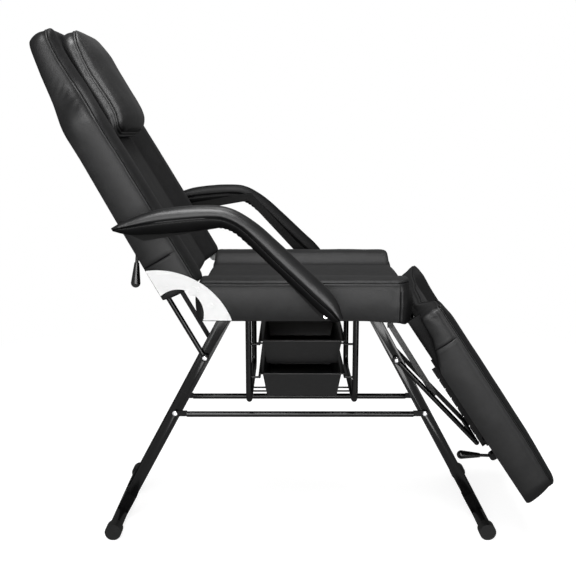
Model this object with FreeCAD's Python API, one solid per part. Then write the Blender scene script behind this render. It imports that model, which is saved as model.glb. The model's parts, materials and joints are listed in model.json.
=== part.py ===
"""Three-section reclining tattoo chair on a folding-leg steel frame, in millimetres.

+X points to the leg rest, +Y to the far side, +Z up. The origin is on the floor,
under the middle of the chair as it stands with its back raised.
"""
import FreeCAD, Part
import math
import os

V = FreeCAD.Vector

# Whole chair
seam_height = 727.5
seat_half_width = 300.0
seat_rear_x = -256.2
seat_front_x = 275.0
overrun = 40.0
paint_gap = 0.3
running_fit = 0.05
seat_gap = 0.3
touch_tolerance = 0.000001
straight_tolerance = 0.000001
middle_turn_deg = 45.0

# Back hinge and leg rest hinge, the two main pivots
back_pivot_x = -268.7
back_pivot_drop = 18.5
back_pivot_z = seam_height - back_pivot_drop
leg_pivot_x = 267.0
leg_pivot_drop = 78.5
leg_pivot_z = seam_height - leg_pivot_drop
back_lift_deg = 60.0
leg_drop_deg = 56.2

# Upholstery cross-section, shared by seat, back and leg rest
crown_height = 9.0
edge_drop = 7.0
bolster_width = 92.0
bolster_slope_width = 46.0
middle_sink = 24.0
middle_crown = 5.0
end_round = 18.0
side_pull_in = 3.0

# Seat
seat_cushion_depth = 58.0
seat_skirt_drop = 99.0
seat_skirt_wall = 15.0
seat_front_corner = 34.0
seat_rear_corner = 8.0
board_thickness = 12.0
board_edge_gap = 0.5
skirt_front_return = 95.0
skirt_front_opening_half = seat_half_width - skirt_front_return

# Back rest, measured along the back from the hinge and up from the hinge line
back_start = 12.5
back_end = 730.0
back_shoulder_start = 452.0
back_shoulder_end = 585.0
head_step_in = 54.0
head_half_width = seat_half_width - head_step_in
head_corner_round = 62.0
back_start_corner = 8.0
back_seam_rise = back_pivot_drop
back_cushion_depth = 58.0
back_head_setback = 24.0
back_setback_start = 500.0
back_top_round = 22.0
back_skirt_depth_low = 82.0
back_skirt_depth_mid = 79.0
back_skirt_depth_kink = 68.0
back_skirt_depth_top = 42.0
back_mid_station = 293.0
back_kink_station = 505.0
back_skirt_wall = 15.0

# Leg rest, measured along the leg rest from its hinge
leg_start = 17.0
leg_end = 616.0
leg_seam_rise = leg_pivot_drop
leg_cushion_depth = 52.0
leg_skirt_start = 118.0
leg_skirt_depth = 13.5
leg_skirt_wall = 15.0
leg_end_corner = 40.0
leg_start_corner = 10.0
leg_foot_round = 26.0
leg_core_start = 38.0
leg_core_step_in = 25.0
leg_core_half_width = seat_half_width - leg_core_step_in
leg_core_wall = 12.0
leg_core_end = 205.0

# Steel arms and pins of the leg rest hinge
leg_hinge_pin_radius = 5.0
leg_arm_thickness = 5.0
leg_arm_gap = 0.5
leg_arm_width = 16.0
leg_arm_end = 150.0
leg_rail_start = 117.0
leg_pin_head_radius = 8.0
leg_pin_head_height = 3.0

# Seat frame
rail_size = 25.0
rail_wall = 2.0
rail_half_spacing = 85.0
rail_rear_x = -236.0
rail_front_x = 246.0
cross_rail_rear_x = -196.0
cross_rail_front_x = 196.0

# Legs and floor bars
leg_size = 30.0
leg_wall = 1.5
leg_top_x = 182.5
leg_foot_x = 512.0
leg_half_spacing = 82.5
floor_bar_radius = 17.0
floor_bar_wall = 1.8
floor_bar_height = 22.0
floor_bar_half_length = 218.0
cap_radius = 22.5
cap_length = 32.0
cap_wall = 5.0
foot_socket_size = 34.0
foot_socket_length = 62.0

# Stretchers between the legs
stretcher_radius = 8.0
stretcher_drop = 61.0
stretcher_tab_length = 34.0
stretcher_tab_thickness = 4.0
bolt_head_radius = 7.5
bolt_head_height = 4.5
bolt_shank_radius = 4.0
nut_radius = 6.5
nut_height = 5.0

# Back brace and leg brace
back_brace_root_drop = 246.5
back_brace_root_z = seam_height - back_brace_root_drop
back_brace_tip_station = 290.0
back_brace_tip_depth = 108.0
leg_brace_root_drop = 252.5
leg_brace_root_z = seam_height - leg_brace_root_drop
leg_brace_tip_station = 474.0
leg_brace_tip_depth = 38.0
brace_radius = 7.0
brace_eye_radius = 11.0
brace_eye_width = 6.0
brace_rod_radius = 6.0
brace_pin_radius = 5.0

# Ratchet racks
rack_thickness = 8.0
rack_height = 22.0
rack_tooth_pitch = 34.0
rack_tooth_depth = 6.0
rack_tooth_width = 15.0
rack_rod_gap = 0.5
back_rack_start = 250.0
back_rack_end = 520.0
leg_rack_start = 256.0
leg_rack_end = 537.0
rack_post_half_breadth = 18.0
rack_rail_size = 20.0
rack_rail_half_spacing = 62.0

# Release levers
lever_rod_radius = 4.5
lever_grip_radius = 12.5
lever_grip_neck_radius = 6.5
lever_grip_length = 54.0
lever_hub_radius = 10.0
lever_hub_width = 16.0
lever_lug_thickness = 4.0
lever_side_gap = 0.4
back_lever_y = -178.0
back_lever_station = 166.0
back_lever_depth = 86.0
back_lever_reach = 50.0
back_lever_hang_deg = 265.0
leg_lever_y = -40.0
leg_lever_station = 560.0
leg_lever_depth = 22.0
leg_lever_reach = 37.0
leg_lever_hang_deg = 178.0

# Leg rest stay
stay_root_x = 252.0
stay_root_drop = 160.5
stay_root_z = seam_height - stay_root_drop
stay_length = 238.0
stay_angle_deg = -57.6
stay_width = 16.0
stay_thickness = 5.0
stay_inset = 7.5
stay_y = -(leg_half_spacing - leg_size / 2 - stay_inset)
stay_pin_radius = 4.0

# White hinge plates
plate_thickness = 2.5
plate_arc_back = 92.1
plate_arc_x = back_pivot_x - plate_arc_back
plate_arc_drop = 148.7
plate_arc_z = back_pivot_z - plate_arc_drop
plate_arc_radius = 199.8
plate_cut_back = 38.8
plate_cut_x = back_pivot_x - plate_cut_back
plate_cut_drop = 60.0
plate_cut_z = back_pivot_z - plate_cut_drop
plate_cut_radius = 63.0
plate_ear_radius = 15.0
plate_pin_radius = 6.0
plate_pin_head_radius = 10.0
plate_pin_head_height = 2.5
plate_split_deg = 52.0
plate_bolt_head_radius = 7.0
plate_edge_margin = 4.0
seat_screw_low_ahead, seat_screw_low_drop = 80.7, 64.0
seat_screw_high_ahead, seat_screw_high_drop = 42.7, 41.0
back_screw_low_station = 40.0
back_screw_high_station = 70.0
back_screw_depth = 58.0

# Arm rests
arm_half_width = 29.0
arm_wall_gap = 71.0
arm_centre_y = seat_half_width + arm_wall_gap + arm_half_width
arm_pad_round = 12.0
arm_bar_thickness = 5.0
arm_bar_width = 24.0
arm_rear_pin_x = -398.0
arm_rear_pin_rise = 136.5
arm_rear_pin_z = seam_height + arm_rear_pin_rise
arm_front_pin_x = 58.0
arm_front_pin_drop = 69.5
arm_front_pin_z = seam_height - arm_front_pin_drop
arm_pin_radius = 6.0
arm_slot_travel = 33.0
arm_slot_clearance = 1.5
arm_flange_radius = 10.0
arm_flange_thickness = 4.0
arm_pin_nut_radius = 9.0
arm_washer_gap = 0.4
arm_bar_knee_x = -158.0
arm_bar_knee_rise = 164.5
arm_bar_knee_z = seam_height + arm_bar_knee_rise

# Outline of the arm pad seen from the side, each point as X and height above the seat seam
arm_tip_x, arm_tip_rise = -444.0, 144.5
arm_crown_rear_x, arm_crown_rear_rise = -352.0, 190.5
arm_crown_mid_x, arm_crown_mid_rise = -258.0, 201.5
arm_crown_front_x, arm_crown_front_rise = -178.0, 199.5
arm_bend_top_x, arm_bend_top_rise = -140.0, 186.5
arm_knee_top_x, arm_knee_top_rise = -78.0, 138.5
arm_low_top_x, arm_low_top_rise = 74.0, -5.5
arm_nose_x, arm_nose_rise = 99.0, -72.5
arm_heel_x, arm_heel_rise = 62.0, -67.5
arm_low_under_x, arm_low_under_rise = 38.0, -39.5
arm_knee_under_x, arm_knee_under_rise = -140.0, 130.5
arm_bend_under_x, arm_bend_under_rise = -182.0, 151.5
arm_under_mid_x, arm_under_mid_rise = -300.0, 144.5
arm_under_rear_x, arm_under_rear_rise = -396.0, 140.5
arm_bend_radius = 60.0
arm_soft_radius = 26.0
arm_tip_radius = 5.0

# Trays and their rack
tray_length = 350.0
tray_rim_rear_x = -112.0
tray_rim_front_x = 120.0
tray_rim_width = 9.0
tray_rim_thickness = 3.0
tray_wall = 2.5
tray_draft = 12.0
tray_depth = 68.0
upper_tray_drop = 178.5
tray_spacing = 91.0
upper_tray_z = seam_height - upper_tray_drop
lower_tray_z = upper_tray_z - tray_spacing
rack_tube_radius = 8.0
rack_rear_x = -139.0
rack_front_x = 146.0
rack_half_length = 186.0
rack_foot_clearance = 9.0
rack_foot_z = lower_tray_z - tray_depth - rack_foot_clearance
rack_corner_radius = 34.0
stretcher_height = rack_foot_z - stretcher_drop
runner_radius = 3.5
runner_gap = 0.3
runner_inset = 5.0
runner_half_length = 186.0
runner_spur_radius = 3.0
cross_wire_radius = 2.5
cross_wire_middle_y = -68.0
cross_wire_half_spacing = 17.0

# Head pillow
pillow_low = 418.0
pillow_high = 724.0
pillow_half_width = 150.0
pillow_crown = 64.0
pillow_edge_rise = 24.0
pillow_back_edge = 11.0
pillow_back_side = 19.0
pillow_side_drop = 18.0
pillow_end_drop = 11.0
pillow_seat_gap = 0.3
pillow_shoulder_share = 0.66
pillow_quarter_share = 0.25

part_dir = "parts"


def save(shape, name):
    """Write one sub-part to its own file."""
    shape.exportStep("%s/%s.step" % (part_dir, name))


def group(shapes):
    """Several separate solids that share one node."""
    return Part.makeCompound(list(shapes))


def box_between(x0, x1, y0, y1, z0, z1):
    """A block between two corners."""
    return Part.makeBox(x1 - x0, y1 - y0, z1 - z0, V(x0, y0, z0))


def bar(start, end, radius):
    """A round bar between two points."""
    run = end - start
    return Part.makeCylinder(radius, run.Length, start, run)


def pin_y(x, z, y0, y1, radius):
    """A round pin that lies across the chair."""
    return Part.makeCylinder(radius, y1 - y0, V(x, y0, z), V(0, 1, 0))


def round_tube(start, end, radius, wall):
    """A round tube, open at both ends."""
    return bar(start, end, radius).cut(bar(start, end, radius - wall))


def square_tube(start, end, size, wall):
    """A square tube, open at both ends, with two faces square to the chair's width."""
    run = end - start
    along = V(run.x, run.y, run.z).normalize()
    side = V(0, 1, 0) if abs(along.y) < abs(along.x) + abs(along.z) else V(0, 0, 1)
    other = along.cross(side).normalize()

    def core(width):
        half = width / 2
        corners = []
        for a, b in ((1, 1), (-1, 1), (-1, -1), (1, -1)):
            corners.append(start + side * (a * half) + other * (b * half))
        return Part.Face(Part.makePolygon(corners + corners[:1])).extrude(run)

    return core(size).cut(core(size - wall - wall))


def rounded_wire(corners):
    """A closed outline through corners, each a point and the radius that rounds it."""
    edges = []
    starts = []
    ends = []
    count = len(corners)
    for i in range(count):
        point, radius = corners[i]
        before = (corners[i - 1][0] - point).normalize()
        after = (corners[(i + 1) % count][0] - point).normalize()
        half = before.getAngle(after) / 2
        if radius <= 0 or abs(half - math.pi / 2) < straight_tolerance:
            starts.append(point)
            ends.append(point)
            edges.append(None)
            continue
        reach = radius / math.tan(half)
        first = point + before * reach
        last = point + after * reach
        inward = (before + after).normalize()
        middle = point + inward * (radius / math.sin(half) - radius)
        starts.append(first)
        ends.append(last)
        edges.append(Part.Arc(first, middle, last).toShape())
    chain = []
    for i in range(count):
        if edges[i] is not None:
            chain.append(edges[i])
        following = starts[(i + 1) % count]
        if (following - ends[i]).Length > touch_tolerance:
            chain.append(Part.LineSegment(ends[i], following).toShape())
    return Part.Wire(chain)


def side_prism(corners, y0, y1):
    """An outline seen from the side, given as x, z and radius, carried across the chair."""
    wire = rounded_wire([(V(x, y0, z), r) for x, z, r in corners])
    return Part.Face(wire).extrude(V(0, y1 - y0, 0))


def plan_prism(corners, z0, z1):
    """An outline seen from above, given as x, y and radius, carried upward."""
    wire = rounded_wire([(V(x, y, z0), r) for x, y, r in corners])
    return Part.Face(wire).extrude(V(0, 0, z1 - z0))


def mirrored(shape):
    """The same piece on the other side of the chair."""
    return shape.mirror(V(0, 0, 0), V(0, 1, 0))


def pair(shape):
    """A piece and its mirror image, as two solids."""
    return group([shape, mirrored(shape)])


def tilt(shape, pivot_x, pivot_z, degrees):
    """Turn a piece built lying flat about a cross axis, then put it at its pivot."""
    turned = shape.copy()
    turned.rotate(V(0, 0, 0), V(0, -1, 0), degrees)
    turned.translate(V(pivot_x, 0, pivot_z))
    return turned


def to_back(shape):
    """Raise a piece of the back rest, built lying flat with the head end at negative X."""
    return tilt(shape, back_pivot_x, back_pivot_z, -back_lift_deg)


def to_leg(shape):
    """Lower a piece of the leg rest, built lying flat with the foot end at positive X."""
    return tilt(shape, leg_pivot_x, leg_pivot_z, -leg_drop_deg)


def back_point(station, rise):
    """Where a point of the back rest is once the back is raised."""
    turn = math.radians(back_lift_deg)
    x = -station * math.cos(turn) + rise * math.sin(turn)
    z = station * math.sin(turn) + rise * math.cos(turn)
    return V(back_pivot_x + x, 0, back_pivot_z + z)


def leg_point(station, rise):
    """Where a point of the leg rest is once the leg rest is lowered."""
    turn = math.radians(leg_drop_deg)
    x = station * math.cos(turn) + rise * math.sin(turn)
    z = rise * math.cos(turn) - station * math.sin(turn)
    return V(leg_pivot_x + x, 0, leg_pivot_z + z)


def upholstered_section(x0, x1, half_width, seam, under):
    """Foam body with raised bolsters at both sides and a lower middle, carried along X."""
    edge = seam - edge_drop
    shoulder = half_width - side_pull_in
    bolster_in = shoulder - bolster_width
    slope_in = bolster_in - bolster_slope_width
    bolster_middle = (shoulder + bolster_in) / 2
    floor = seam - middle_sink
    side_level = (under + edge) / 2

    def at(y, z):
        return V(x0, y, z)

    outline = [
        Part.Arc(at(-shoulder, under), at(-half_width, side_level), at(-shoulder, edge)),
        Part.Arc(at(-shoulder, edge), at(-bolster_middle, seam + crown_height), at(-bolster_in, seam)),
        Part.LineSegment(at(-bolster_in, seam), at(-slope_in, floor)),
        Part.Arc(at(-slope_in, floor), at(0, floor + middle_crown), at(slope_in, floor)),
        Part.LineSegment(at(slope_in, floor), at(bolster_in, seam)),
        Part.Arc(at(bolster_in, seam), at(bolster_middle, seam + crown_height), at(shoulder, edge)),
        Part.Arc(at(shoulder, edge), at(half_width, side_level), at(shoulder, under)),
        Part.LineSegment(at(shoulder, under), at(-shoulder, under)),
    ]
    wire = Part.Wire([piece.toShape() for piece in outline])
    return Part.Face(wire).extrude(V(x1 - x0, 0, 0))


def seat_plan(inset, z0, z1):
    """Seat outline from above, drawn in by an inset."""
    w = seat_half_width - side_pull_in - inset
    front = max(seat_front_corner - inset, paint_gap)
    rear = max(seat_rear_corner - inset, paint_gap)
    x0 = seat_rear_x + inset
    x1 = seat_front_x - inset
    return plan_prism([(x0, -w, rear), (x1, -w, front), (x1, w, front), (x0, w, rear)], z0, z1)


def seat_cushion():
    """Seat foam and cover down to the board."""
    under = seam_height - seat_cushion_depth
    top = seam_height + crown_height
    body = upholstered_section(seat_rear_x, seat_front_x, seat_half_width, seam_height, under)
    corners = [
        (seat_rear_x, under, 0),
        (seat_front_x, under, 0),
        (seat_front_x, top, end_round),
        (seat_rear_x, top, end_round),
    ]
    ends = side_prism(corners, -seat_half_width - overrun, seat_half_width + overrun)
    return body.common(ends).common(seat_plan(-side_pull_in, under - overrun, top + overrun))


def seat_skirt():
    """Covered board walls below the cushion, open at the front between the hinge arms."""
    top = seam_height - seat_cushion_depth
    low = seam_height - seat_skirt_drop
    ring = seat_plan(0, low, top).cut(seat_plan(seat_skirt_wall, low - overrun, top + overrun))
    inside = seat_front_x - seat_front_corner - seat_skirt_wall
    opening = box_between(inside, seat_front_x + overrun, -skirt_front_opening_half, skirt_front_opening_half,
                          low - overrun, top + overrun)
    return ring.cut(opening)


def seat_board():
    """Plywood under the seat foam, inside the skirt."""
    top = seam_height - seat_cushion_depth
    return seat_plan(seat_skirt_wall + board_edge_gap, top - board_thickness, top)


def frame_top():
    """Height of the top of the steel seat frame."""
    return seam_height - seat_cushion_depth - board_thickness


def skirt_inner_face():
    """How far the cross rails reach, just short of the seat skirt."""
    return seat_half_width - side_pull_in - seat_skirt_wall - paint_gap


def seat_frame():
    """Two long rails, with hinge ends in front, and two cross rails welded between and beyond them."""
    z = frame_top() - rail_size / 2
    pieces = []
    for side in (-1, 1):
        y = side * rail_half_spacing
        rail = square_tube(V(rail_rear_x, y, z), V(rail_front_x, y, z), rail_size, rail_wall)
        pieces.append(rail)
        inner = y - rail_size / 2
        low = z - rail_size / 2
        nose = box_between(rail_front_x, leg_pivot_x, inner, inner + rail_size, low, low + rail_size)
        tip = pin_y(leg_pivot_x, z, inner, inner + rail_size, rail_size / 2)
        through = inner + rail_size + overrun
        bore = pin_y(leg_pivot_x, leg_pivot_z, inner - overrun, through, leg_hinge_pin_radius)
        pieces.append(nose.fuse(tip).cut(bore))
        for x in (cross_rail_rear_x, cross_rail_front_x):
            start = V(x, side * (rail_half_spacing + rail_size / 2), z)
            end = V(x, side * skirt_inner_face(), z)
            pieces.append(square_tube(start, end, rail_size, rail_wall))
    for x in (cross_rail_rear_x, cross_rail_front_x):
        reach = rail_half_spacing - rail_size / 2
        pieces.append(square_tube(V(x, -reach, z), V(x, reach, z), rail_size, rail_wall))
    for y in (-rack_half_length, rack_half_length):
        start = V(cross_rail_rear_x + rail_size / 2, y, z)
        end = V(cross_rail_front_x - rail_size / 2, y, z)
        pieces.append(square_tube(start, end, rail_size, rail_wall))
    return group(pieces)


def leg_hinge_pins():
    """Pins that the leg rest turns on, pressed through the ends of the long rails."""
    inner = rail_half_spacing - rail_size / 2
    outer = rail_half_spacing + rail_size / 2 + leg_arm_gap + leg_arm_thickness + leg_arm_gap
    shank = pin_y(leg_pivot_x, leg_pivot_z, inner, outer, leg_hinge_pin_radius)
    head = pin_y(leg_pivot_x, leg_pivot_z, outer, outer + leg_pin_head_height, leg_pin_head_radius)
    return pair(shank.fuse(head))


def leg_foot(front):
    """Lower end of a leg on the middle line of its floor bar."""
    return V(front * leg_foot_x, 0, floor_bar_height)


def leg_top(front):
    """Upper end of a leg at the underside of the seat frame."""
    return V(front * leg_top_x, 0, frame_top() - rail_size)


def leg_line_x(front, z):
    """Where the middle of a leg is at a given height."""
    top = leg_top(front)
    foot = leg_foot(front)
    return foot.x + (top.x - foot.x) * (z - foot.z) / (top.z - foot.z)


def floor_bar_core(front):
    """The round body of a floor bar without its bore."""
    foot = leg_foot(front)
    across = V(0, floor_bar_half_length, 0)
    return bar(foot - across, foot + across, floor_bar_radius)


def leg_tube(front, side):
    """One square leg, cut level at the seat frame and shaped onto its floor bar."""
    top = leg_top(front)
    foot = leg_foot(front)
    run = (top - foot).normalize()
    y = V(0, side * leg_half_spacing, 0)
    tube = square_tube(foot + y, top + y + run * leg_size, leg_size, leg_wall)
    reach = leg_foot_x
    above = box_between(-reach, reach, -seat_half_width, seat_half_width, top.z, top.z + overrun)
    return tube.cut(above).cut(floor_bar_core(front))


def foot_socket(front, side):
    """Short sleeve around the lower end of a leg, welded to the floor bar."""
    foot = leg_foot(front)
    run = (leg_top(front) - foot).normalize()
    y = V(0, side * leg_half_spacing, 0)
    wall = (foot_socket_size - leg_size) / 2
    sleeve = square_tube(foot + y, foot + y + run * foot_socket_length, foot_socket_size, wall)
    return sleeve.cut(floor_bar_core(front))


def floor_bar(front):
    """Round tube across the floor, with the two leg sleeves on it."""
    foot = leg_foot(front)
    reach = floor_bar_half_length
    tube = round_tube(V(foot.x, -reach, foot.z), V(foot.x, reach, foot.z), floor_bar_radius, floor_bar_wall)
    return group([tube, foot_socket(front, -1), foot_socket(front, 1)])


def end_caps():
    """Rubber caps that close the floor bars and stand on the floor."""
    caps = []
    for front in (-1, 1):
        foot = leg_foot(front)
        for side in (-1, 1):
            outer = side * (floor_bar_half_length + cap_wall)
            inner = side * (floor_bar_half_length + cap_wall - cap_length)
            body = bar(V(foot.x, inner, foot.z), V(foot.x, outer, foot.z), cap_radius)
            hollow = floor_bar_core(front)
            reach = seat_half_width
            below = box_between(foot.x - overrun, foot.x + overrun, -reach, reach, -overrun, 0)
            caps.append(body.cut(hollow).cut(below))
    return group(caps)


def stretcher(y, side_out):
    """Round tube between a rear and a front leg, with flattened ends that the bolts pass through."""
    x0 = leg_line_x(-1, stretcher_height)
    x1 = leg_line_x(1, stretcher_height)
    x_in0 = x0 + stretcher_tab_length
    x_in1 = x1 - stretcher_tab_length
    face = y - side_out * stretcher_radius
    near = min(face, face + side_out * stretcher_tab_thickness)
    far = max(face, face + side_out * stretcher_tab_thickness)
    low = stretcher_height - stretcher_radius
    high = stretcher_height + stretcher_radius
    body = bar(V(x_in0, y, stretcher_height), V(x_in1, y, stretcher_height), stretcher_radius)
    for x_end, x_tab in ((x0, x_in0), (x1, x_in1)):
        tab = box_between(min(x_end, x_tab), max(x_end, x_tab), near, far, low, high)
        tip = pin_y(x_end, stretcher_height, near, far, stretcher_radius)
        hole = pin_y(x_end, stretcher_height, near - overrun, far + overrun, bolt_shank_radius)
        body = body.fuse(tab.fuse(tip).cut(hole))
    return body.removeSplitter()


def stretcher_left_y():
    """Middle line of the stretcher on the near legs, outside them."""
    return -(leg_half_spacing + leg_size / 2 + stretcher_radius)


def stretcher_right_y():
    """Middle line of the stretcher on the far legs, inside them."""
    return leg_half_spacing - leg_size / 2 - stretcher_radius


def leg_drilled(front, side):
    """A leg with the bolt holes for its stretcher and its brace."""
    tube = leg_tube(front, side)
    y = side * leg_half_spacing
    reach = leg_size / 2 + leg_wall
    x = leg_line_x(front, stretcher_height)
    holes = [pin_y(x, stretcher_height, y - reach, y + reach, bolt_shank_radius)]
    root = brace_root(front)
    holes.append(pin_y(root.x, root.z, y - reach, y + reach, brace_pin_radius))
    return tube.cut(group(holes))


def domed_bolt(x, z, y_head, y_tail, shank_radius):
    """Domed head, shank and nut; the head sits at the first value, the nut at the other."""
    out = 1 if y_head > y_tail else -1
    shank = pin_y(x, z, min(y_head, y_tail), max(y_head, y_tail), shank_radius)
    ball_radius = (bolt_head_radius ** 2 + bolt_head_height ** 2) / (bolt_head_height + bolt_head_height)
    ball = Part.makeSphere(ball_radius, V(x, y_head + out * (bolt_head_height - ball_radius), z))
    crest = y_head + out * bolt_head_height
    keep = pin_y(x, z, min(y_head, crest), max(y_head, crest), bolt_head_radius)
    nut_far = y_tail - out * nut_height
    nut = pin_y(x, z, min(y_tail, nut_far), max(y_tail, nut_far), nut_radius)
    return shank.fuse(ball.common(keep)).fuse(nut)


def stretcher_bolts():
    """Four bolts that clamp the stretcher ends to the legs."""
    bolts = []
    for front in (-1, 1):
        x = leg_line_x(front, stretcher_height)
        leg_out = leg_half_spacing + leg_size / 2
        leg_in = leg_half_spacing - leg_size / 2
        near_head = -leg_out - stretcher_tab_thickness
        far_tail = leg_in - stretcher_tab_thickness
        bolts.append(domed_bolt(x, stretcher_height, near_head, -leg_in, bolt_shank_radius))
        bolts.append(domed_bolt(x, stretcher_height, leg_out, far_tail, bolt_shank_radius))
    return group(bolts)


def brace_root(front):
    """Pivot of a brace on its leg."""
    z = leg_brace_root_z if front > 0 else back_brace_root_z
    return V(leg_line_x(front, z), 0, z)


def brace_tip(front):
    """Middle of the cross rod that catches in the rack."""
    if front > 0:
        return leg_point(leg_brace_tip_station, -leg_brace_tip_depth)
    return back_point(back_brace_tip_station, -back_brace_tip_depth)


def brace_inner_face():
    """Face of the leg that the brace eyes run along."""
    return leg_half_spacing + leg_size / 2 + paint_gap


def brace(front):
    """Two side tubes with flat eyes at the legs, joined by the cross rod at the rack."""
    root = brace_root(front)
    tip = brace_tip(front)
    run = (tip - root).normalize()
    inner = brace_inner_face()
    outer = inner + brace_eye_width
    middle = (inner + outer) / 2
    half = pin_y(tip.x, tip.z, -middle, middle, brace_rod_radius)
    for side in (-1, 1):
        y0 = min(side * inner, side * outer)
        y1 = max(side * inner, side * outer)
        eye = pin_y(root.x, root.z, y0, y1, brace_eye_radius)
        y = V(0, side * middle, 0)
        tube = bar(root + y + run * brace_eye_radius, tip + y, brace_radius)
        flat = bar(root + y, root + y + run * (brace_eye_radius + brace_radius), brace_radius)
        strip = box_between(-leg_foot_x, leg_foot_x, y0, y1, 0, seam_height + seam_height)
        near = min(0, side * inner)
        clear = box_between(-leg_foot_x, leg_foot_x, near, near + inner, 0, seam_height)
        bore = pin_y(root.x, root.z, y0 - overrun, y1 + overrun, brace_pin_radius + running_fit)
        tube = tube.cut(clear)
        knob = Part.makeSphere(brace_radius, tip + y)
        half = half.fuse(eye.fuse(flat.common(strip)).fuse(tube).cut(bore)).fuse(knob)
    return half.removeSplitter()


def brace_bolts(front):
    """Bolts that the brace eyes turn on."""
    root = brace_root(front)
    face = brace_inner_face() + brace_eye_width + paint_gap
    leg_in = leg_half_spacing - leg_size / 2
    return pair(domed_bolt(root.x, root.z, face, leg_in, brace_pin_radius))


def tray_rack(x):
    """U-shaped hanger: two uprights and a run across the chair under the trays."""
    top = frame_top() - rail_size
    reach = rack_half_length
    low = rack_foot_z
    r = rack_corner_radius
    left_top = V(x, -reach, top)
    left_low = V(x, -reach, low + r)
    left_run = V(x, -reach + r, low)
    right_run = V(x, reach - r, low)
    right_low = V(x, reach, low + r)
    right_top = V(x, reach, top)
    turn = r - r * math.cos(math.radians(middle_turn_deg))
    arc_left = Part.Arc(left_low, V(x, -reach + turn, low + turn), left_run)
    arc_right = Part.Arc(right_run, V(x, reach - turn, low + turn), right_low)
    path = Part.Wire([
        Part.LineSegment(left_top, left_low).toShape(),
        arc_left.toShape(),
        Part.LineSegment(left_run, right_run).toShape(),
        arc_right.toShape(),
        Part.LineSegment(right_low, right_top).toShape(),
    ])
    ring = Part.Wire([Part.makeCircle(rack_tube_radius, left_top, V(0, 0, 1))])
    return path.makePipeShell([ring], True, True)


def tray_runners():
    """Thin rods on the hangers that the tray rims slide on, two to a tray."""
    rods = []
    for z in (upper_tray_z, lower_tray_z):
        rod_z = z - tray_rim_thickness - runner_gap - runner_radius
        ends = ((tray_rim_rear_x, rack_rear_x, 1), (tray_rim_front_x, rack_front_x, -1))
        for x_rim, x_rack, out in ends:
            x = x_rim + out * runner_inset - out * runner_radius
            rod = pin_y(x, rod_z, -runner_half_length, runner_half_length, runner_radius)
            for side in (-1, 1):
                y = side * rack_half_length
                start = V(x_rack + out * rack_tube_radius, y, rod_z)
                spur = bar(V(x, y, rod_z), start, runner_spur_radius)
                rod = rod.fuse(spur)
            rods.append(rod)
    return group(rods)


def tray_cross_wires():
    """Two wires that tie the lower runs of the hangers together."""
    wires = []
    for side in (-1, 1):
        y = cross_wire_middle_y + side * cross_wire_half_spacing
        start = V(rack_rear_x + rack_tube_radius, y, rack_foot_z)
        end = V(rack_front_x - rack_tube_radius, y, rack_foot_z)
        wires.append(bar(start, end, cross_wire_radius))
    return group(wires)


def frustum(x0, x1, y0, y1, top, depth, draft):
    """A block that narrows downward by the draft on every side."""
    rings = []
    for inset, z in ((0, top), (draft, top - depth)):
        a0, a1, b0, b1 = x0 + inset, x1 - inset, y0 + inset, y1 - inset
        rings.append(Part.makePolygon([V(a0, b0, z), V(a1, b0, z), V(a1, b1, z), V(a0, b1, z), V(a0, b0, z)]))
    return Part.makeLoft(rings, True, True)


def tray(z):
    """Open tray with sloping walls and a flat rim that rides on the runners."""
    half = tray_length / 2
    rim = box_between(tray_rim_rear_x, tray_rim_front_x, -half, half, z - tray_rim_thickness, z)
    x0 = tray_rim_rear_x + tray_rim_width
    x1 = tray_rim_front_x - tray_rim_width
    y0 = -half + tray_rim_width
    y1 = half - tray_rim_width
    shell = frustum(x0, x1, y0, y1, z, tray_depth, tray_draft)
    t = tray_wall
    hollow = frustum(x0 + t, x1 - t, y0 + t, y1 - t, z, tray_depth - t, tray_draft)
    return rim.fuse(shell).cut(hollow).removeSplitter()


def back_side_outline():
    """Side outline of the whole back rest, lying flat."""
    top = back_seam_rise + crown_height
    head = top - back_head_setback
    return [
        (-back_start, top, end_round),
        (-back_setback_start, top, back_shoulder_end),
        (-back_end, head, back_top_round),
        (-back_end, -back_skirt_depth_top, back_top_round),
        (-back_kink_station, -back_skirt_depth_kink, back_head_setback),
        (-back_mid_station, -back_skirt_depth_mid, 0),
        (-back_start, -back_skirt_depth_low, 0),
    ]


def back_plan(inset, z0, z1):
    """Back rest outline from above, narrower at the head, drawn in by an inset."""
    w = seat_half_width - side_pull_in - inset
    head = head_half_width - side_pull_in - inset
    low = max(back_start_corner - inset, paint_gap)
    soft = head_corner_round + head_corner_round
    x0 = -back_start - inset
    x1 = -back_end + inset
    half = [
        (x0, low, w),
        (-back_shoulder_start, soft, w),
        (-back_shoulder_end, soft, head),
        (x1, head_corner_round - inset, head),
    ]
    near = [(x, -y, r) for x, r, y in half]
    far = [(x, y, r) for x, r, y in reversed(half)]
    return plan_prism(near + far, z0, z1)


def back_cushion():
    """Back foam and cover down to the board."""
    under = back_seam_rise - back_cushion_depth
    top = back_seam_rise + crown_height
    body = upholstered_section(-back_end, -back_start, seat_half_width, back_seam_rise, under)
    reach = seat_half_width + overrun
    outline = side_prism(back_side_outline(), -reach, reach)
    above = box_between(-back_end - overrun, 0, -reach, reach, under, top + overrun)
    plan = back_plan(-side_pull_in, under - overrun, top + overrun)
    return to_back(body.common(outline).common(above).common(plan))


def back_skirt():
    """Covered board walls behind the back cushion."""
    under = back_seam_rise - back_cushion_depth
    low = -back_skirt_depth_low - overrun
    ring = back_plan(0, low, under).cut(back_plan(back_skirt_wall, low - overrun, under + overrun))
    outline = side_prism(back_side_outline(), -seat_half_width - overrun, seat_half_width + overrun)
    return to_back(ring.common(outline))


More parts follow.
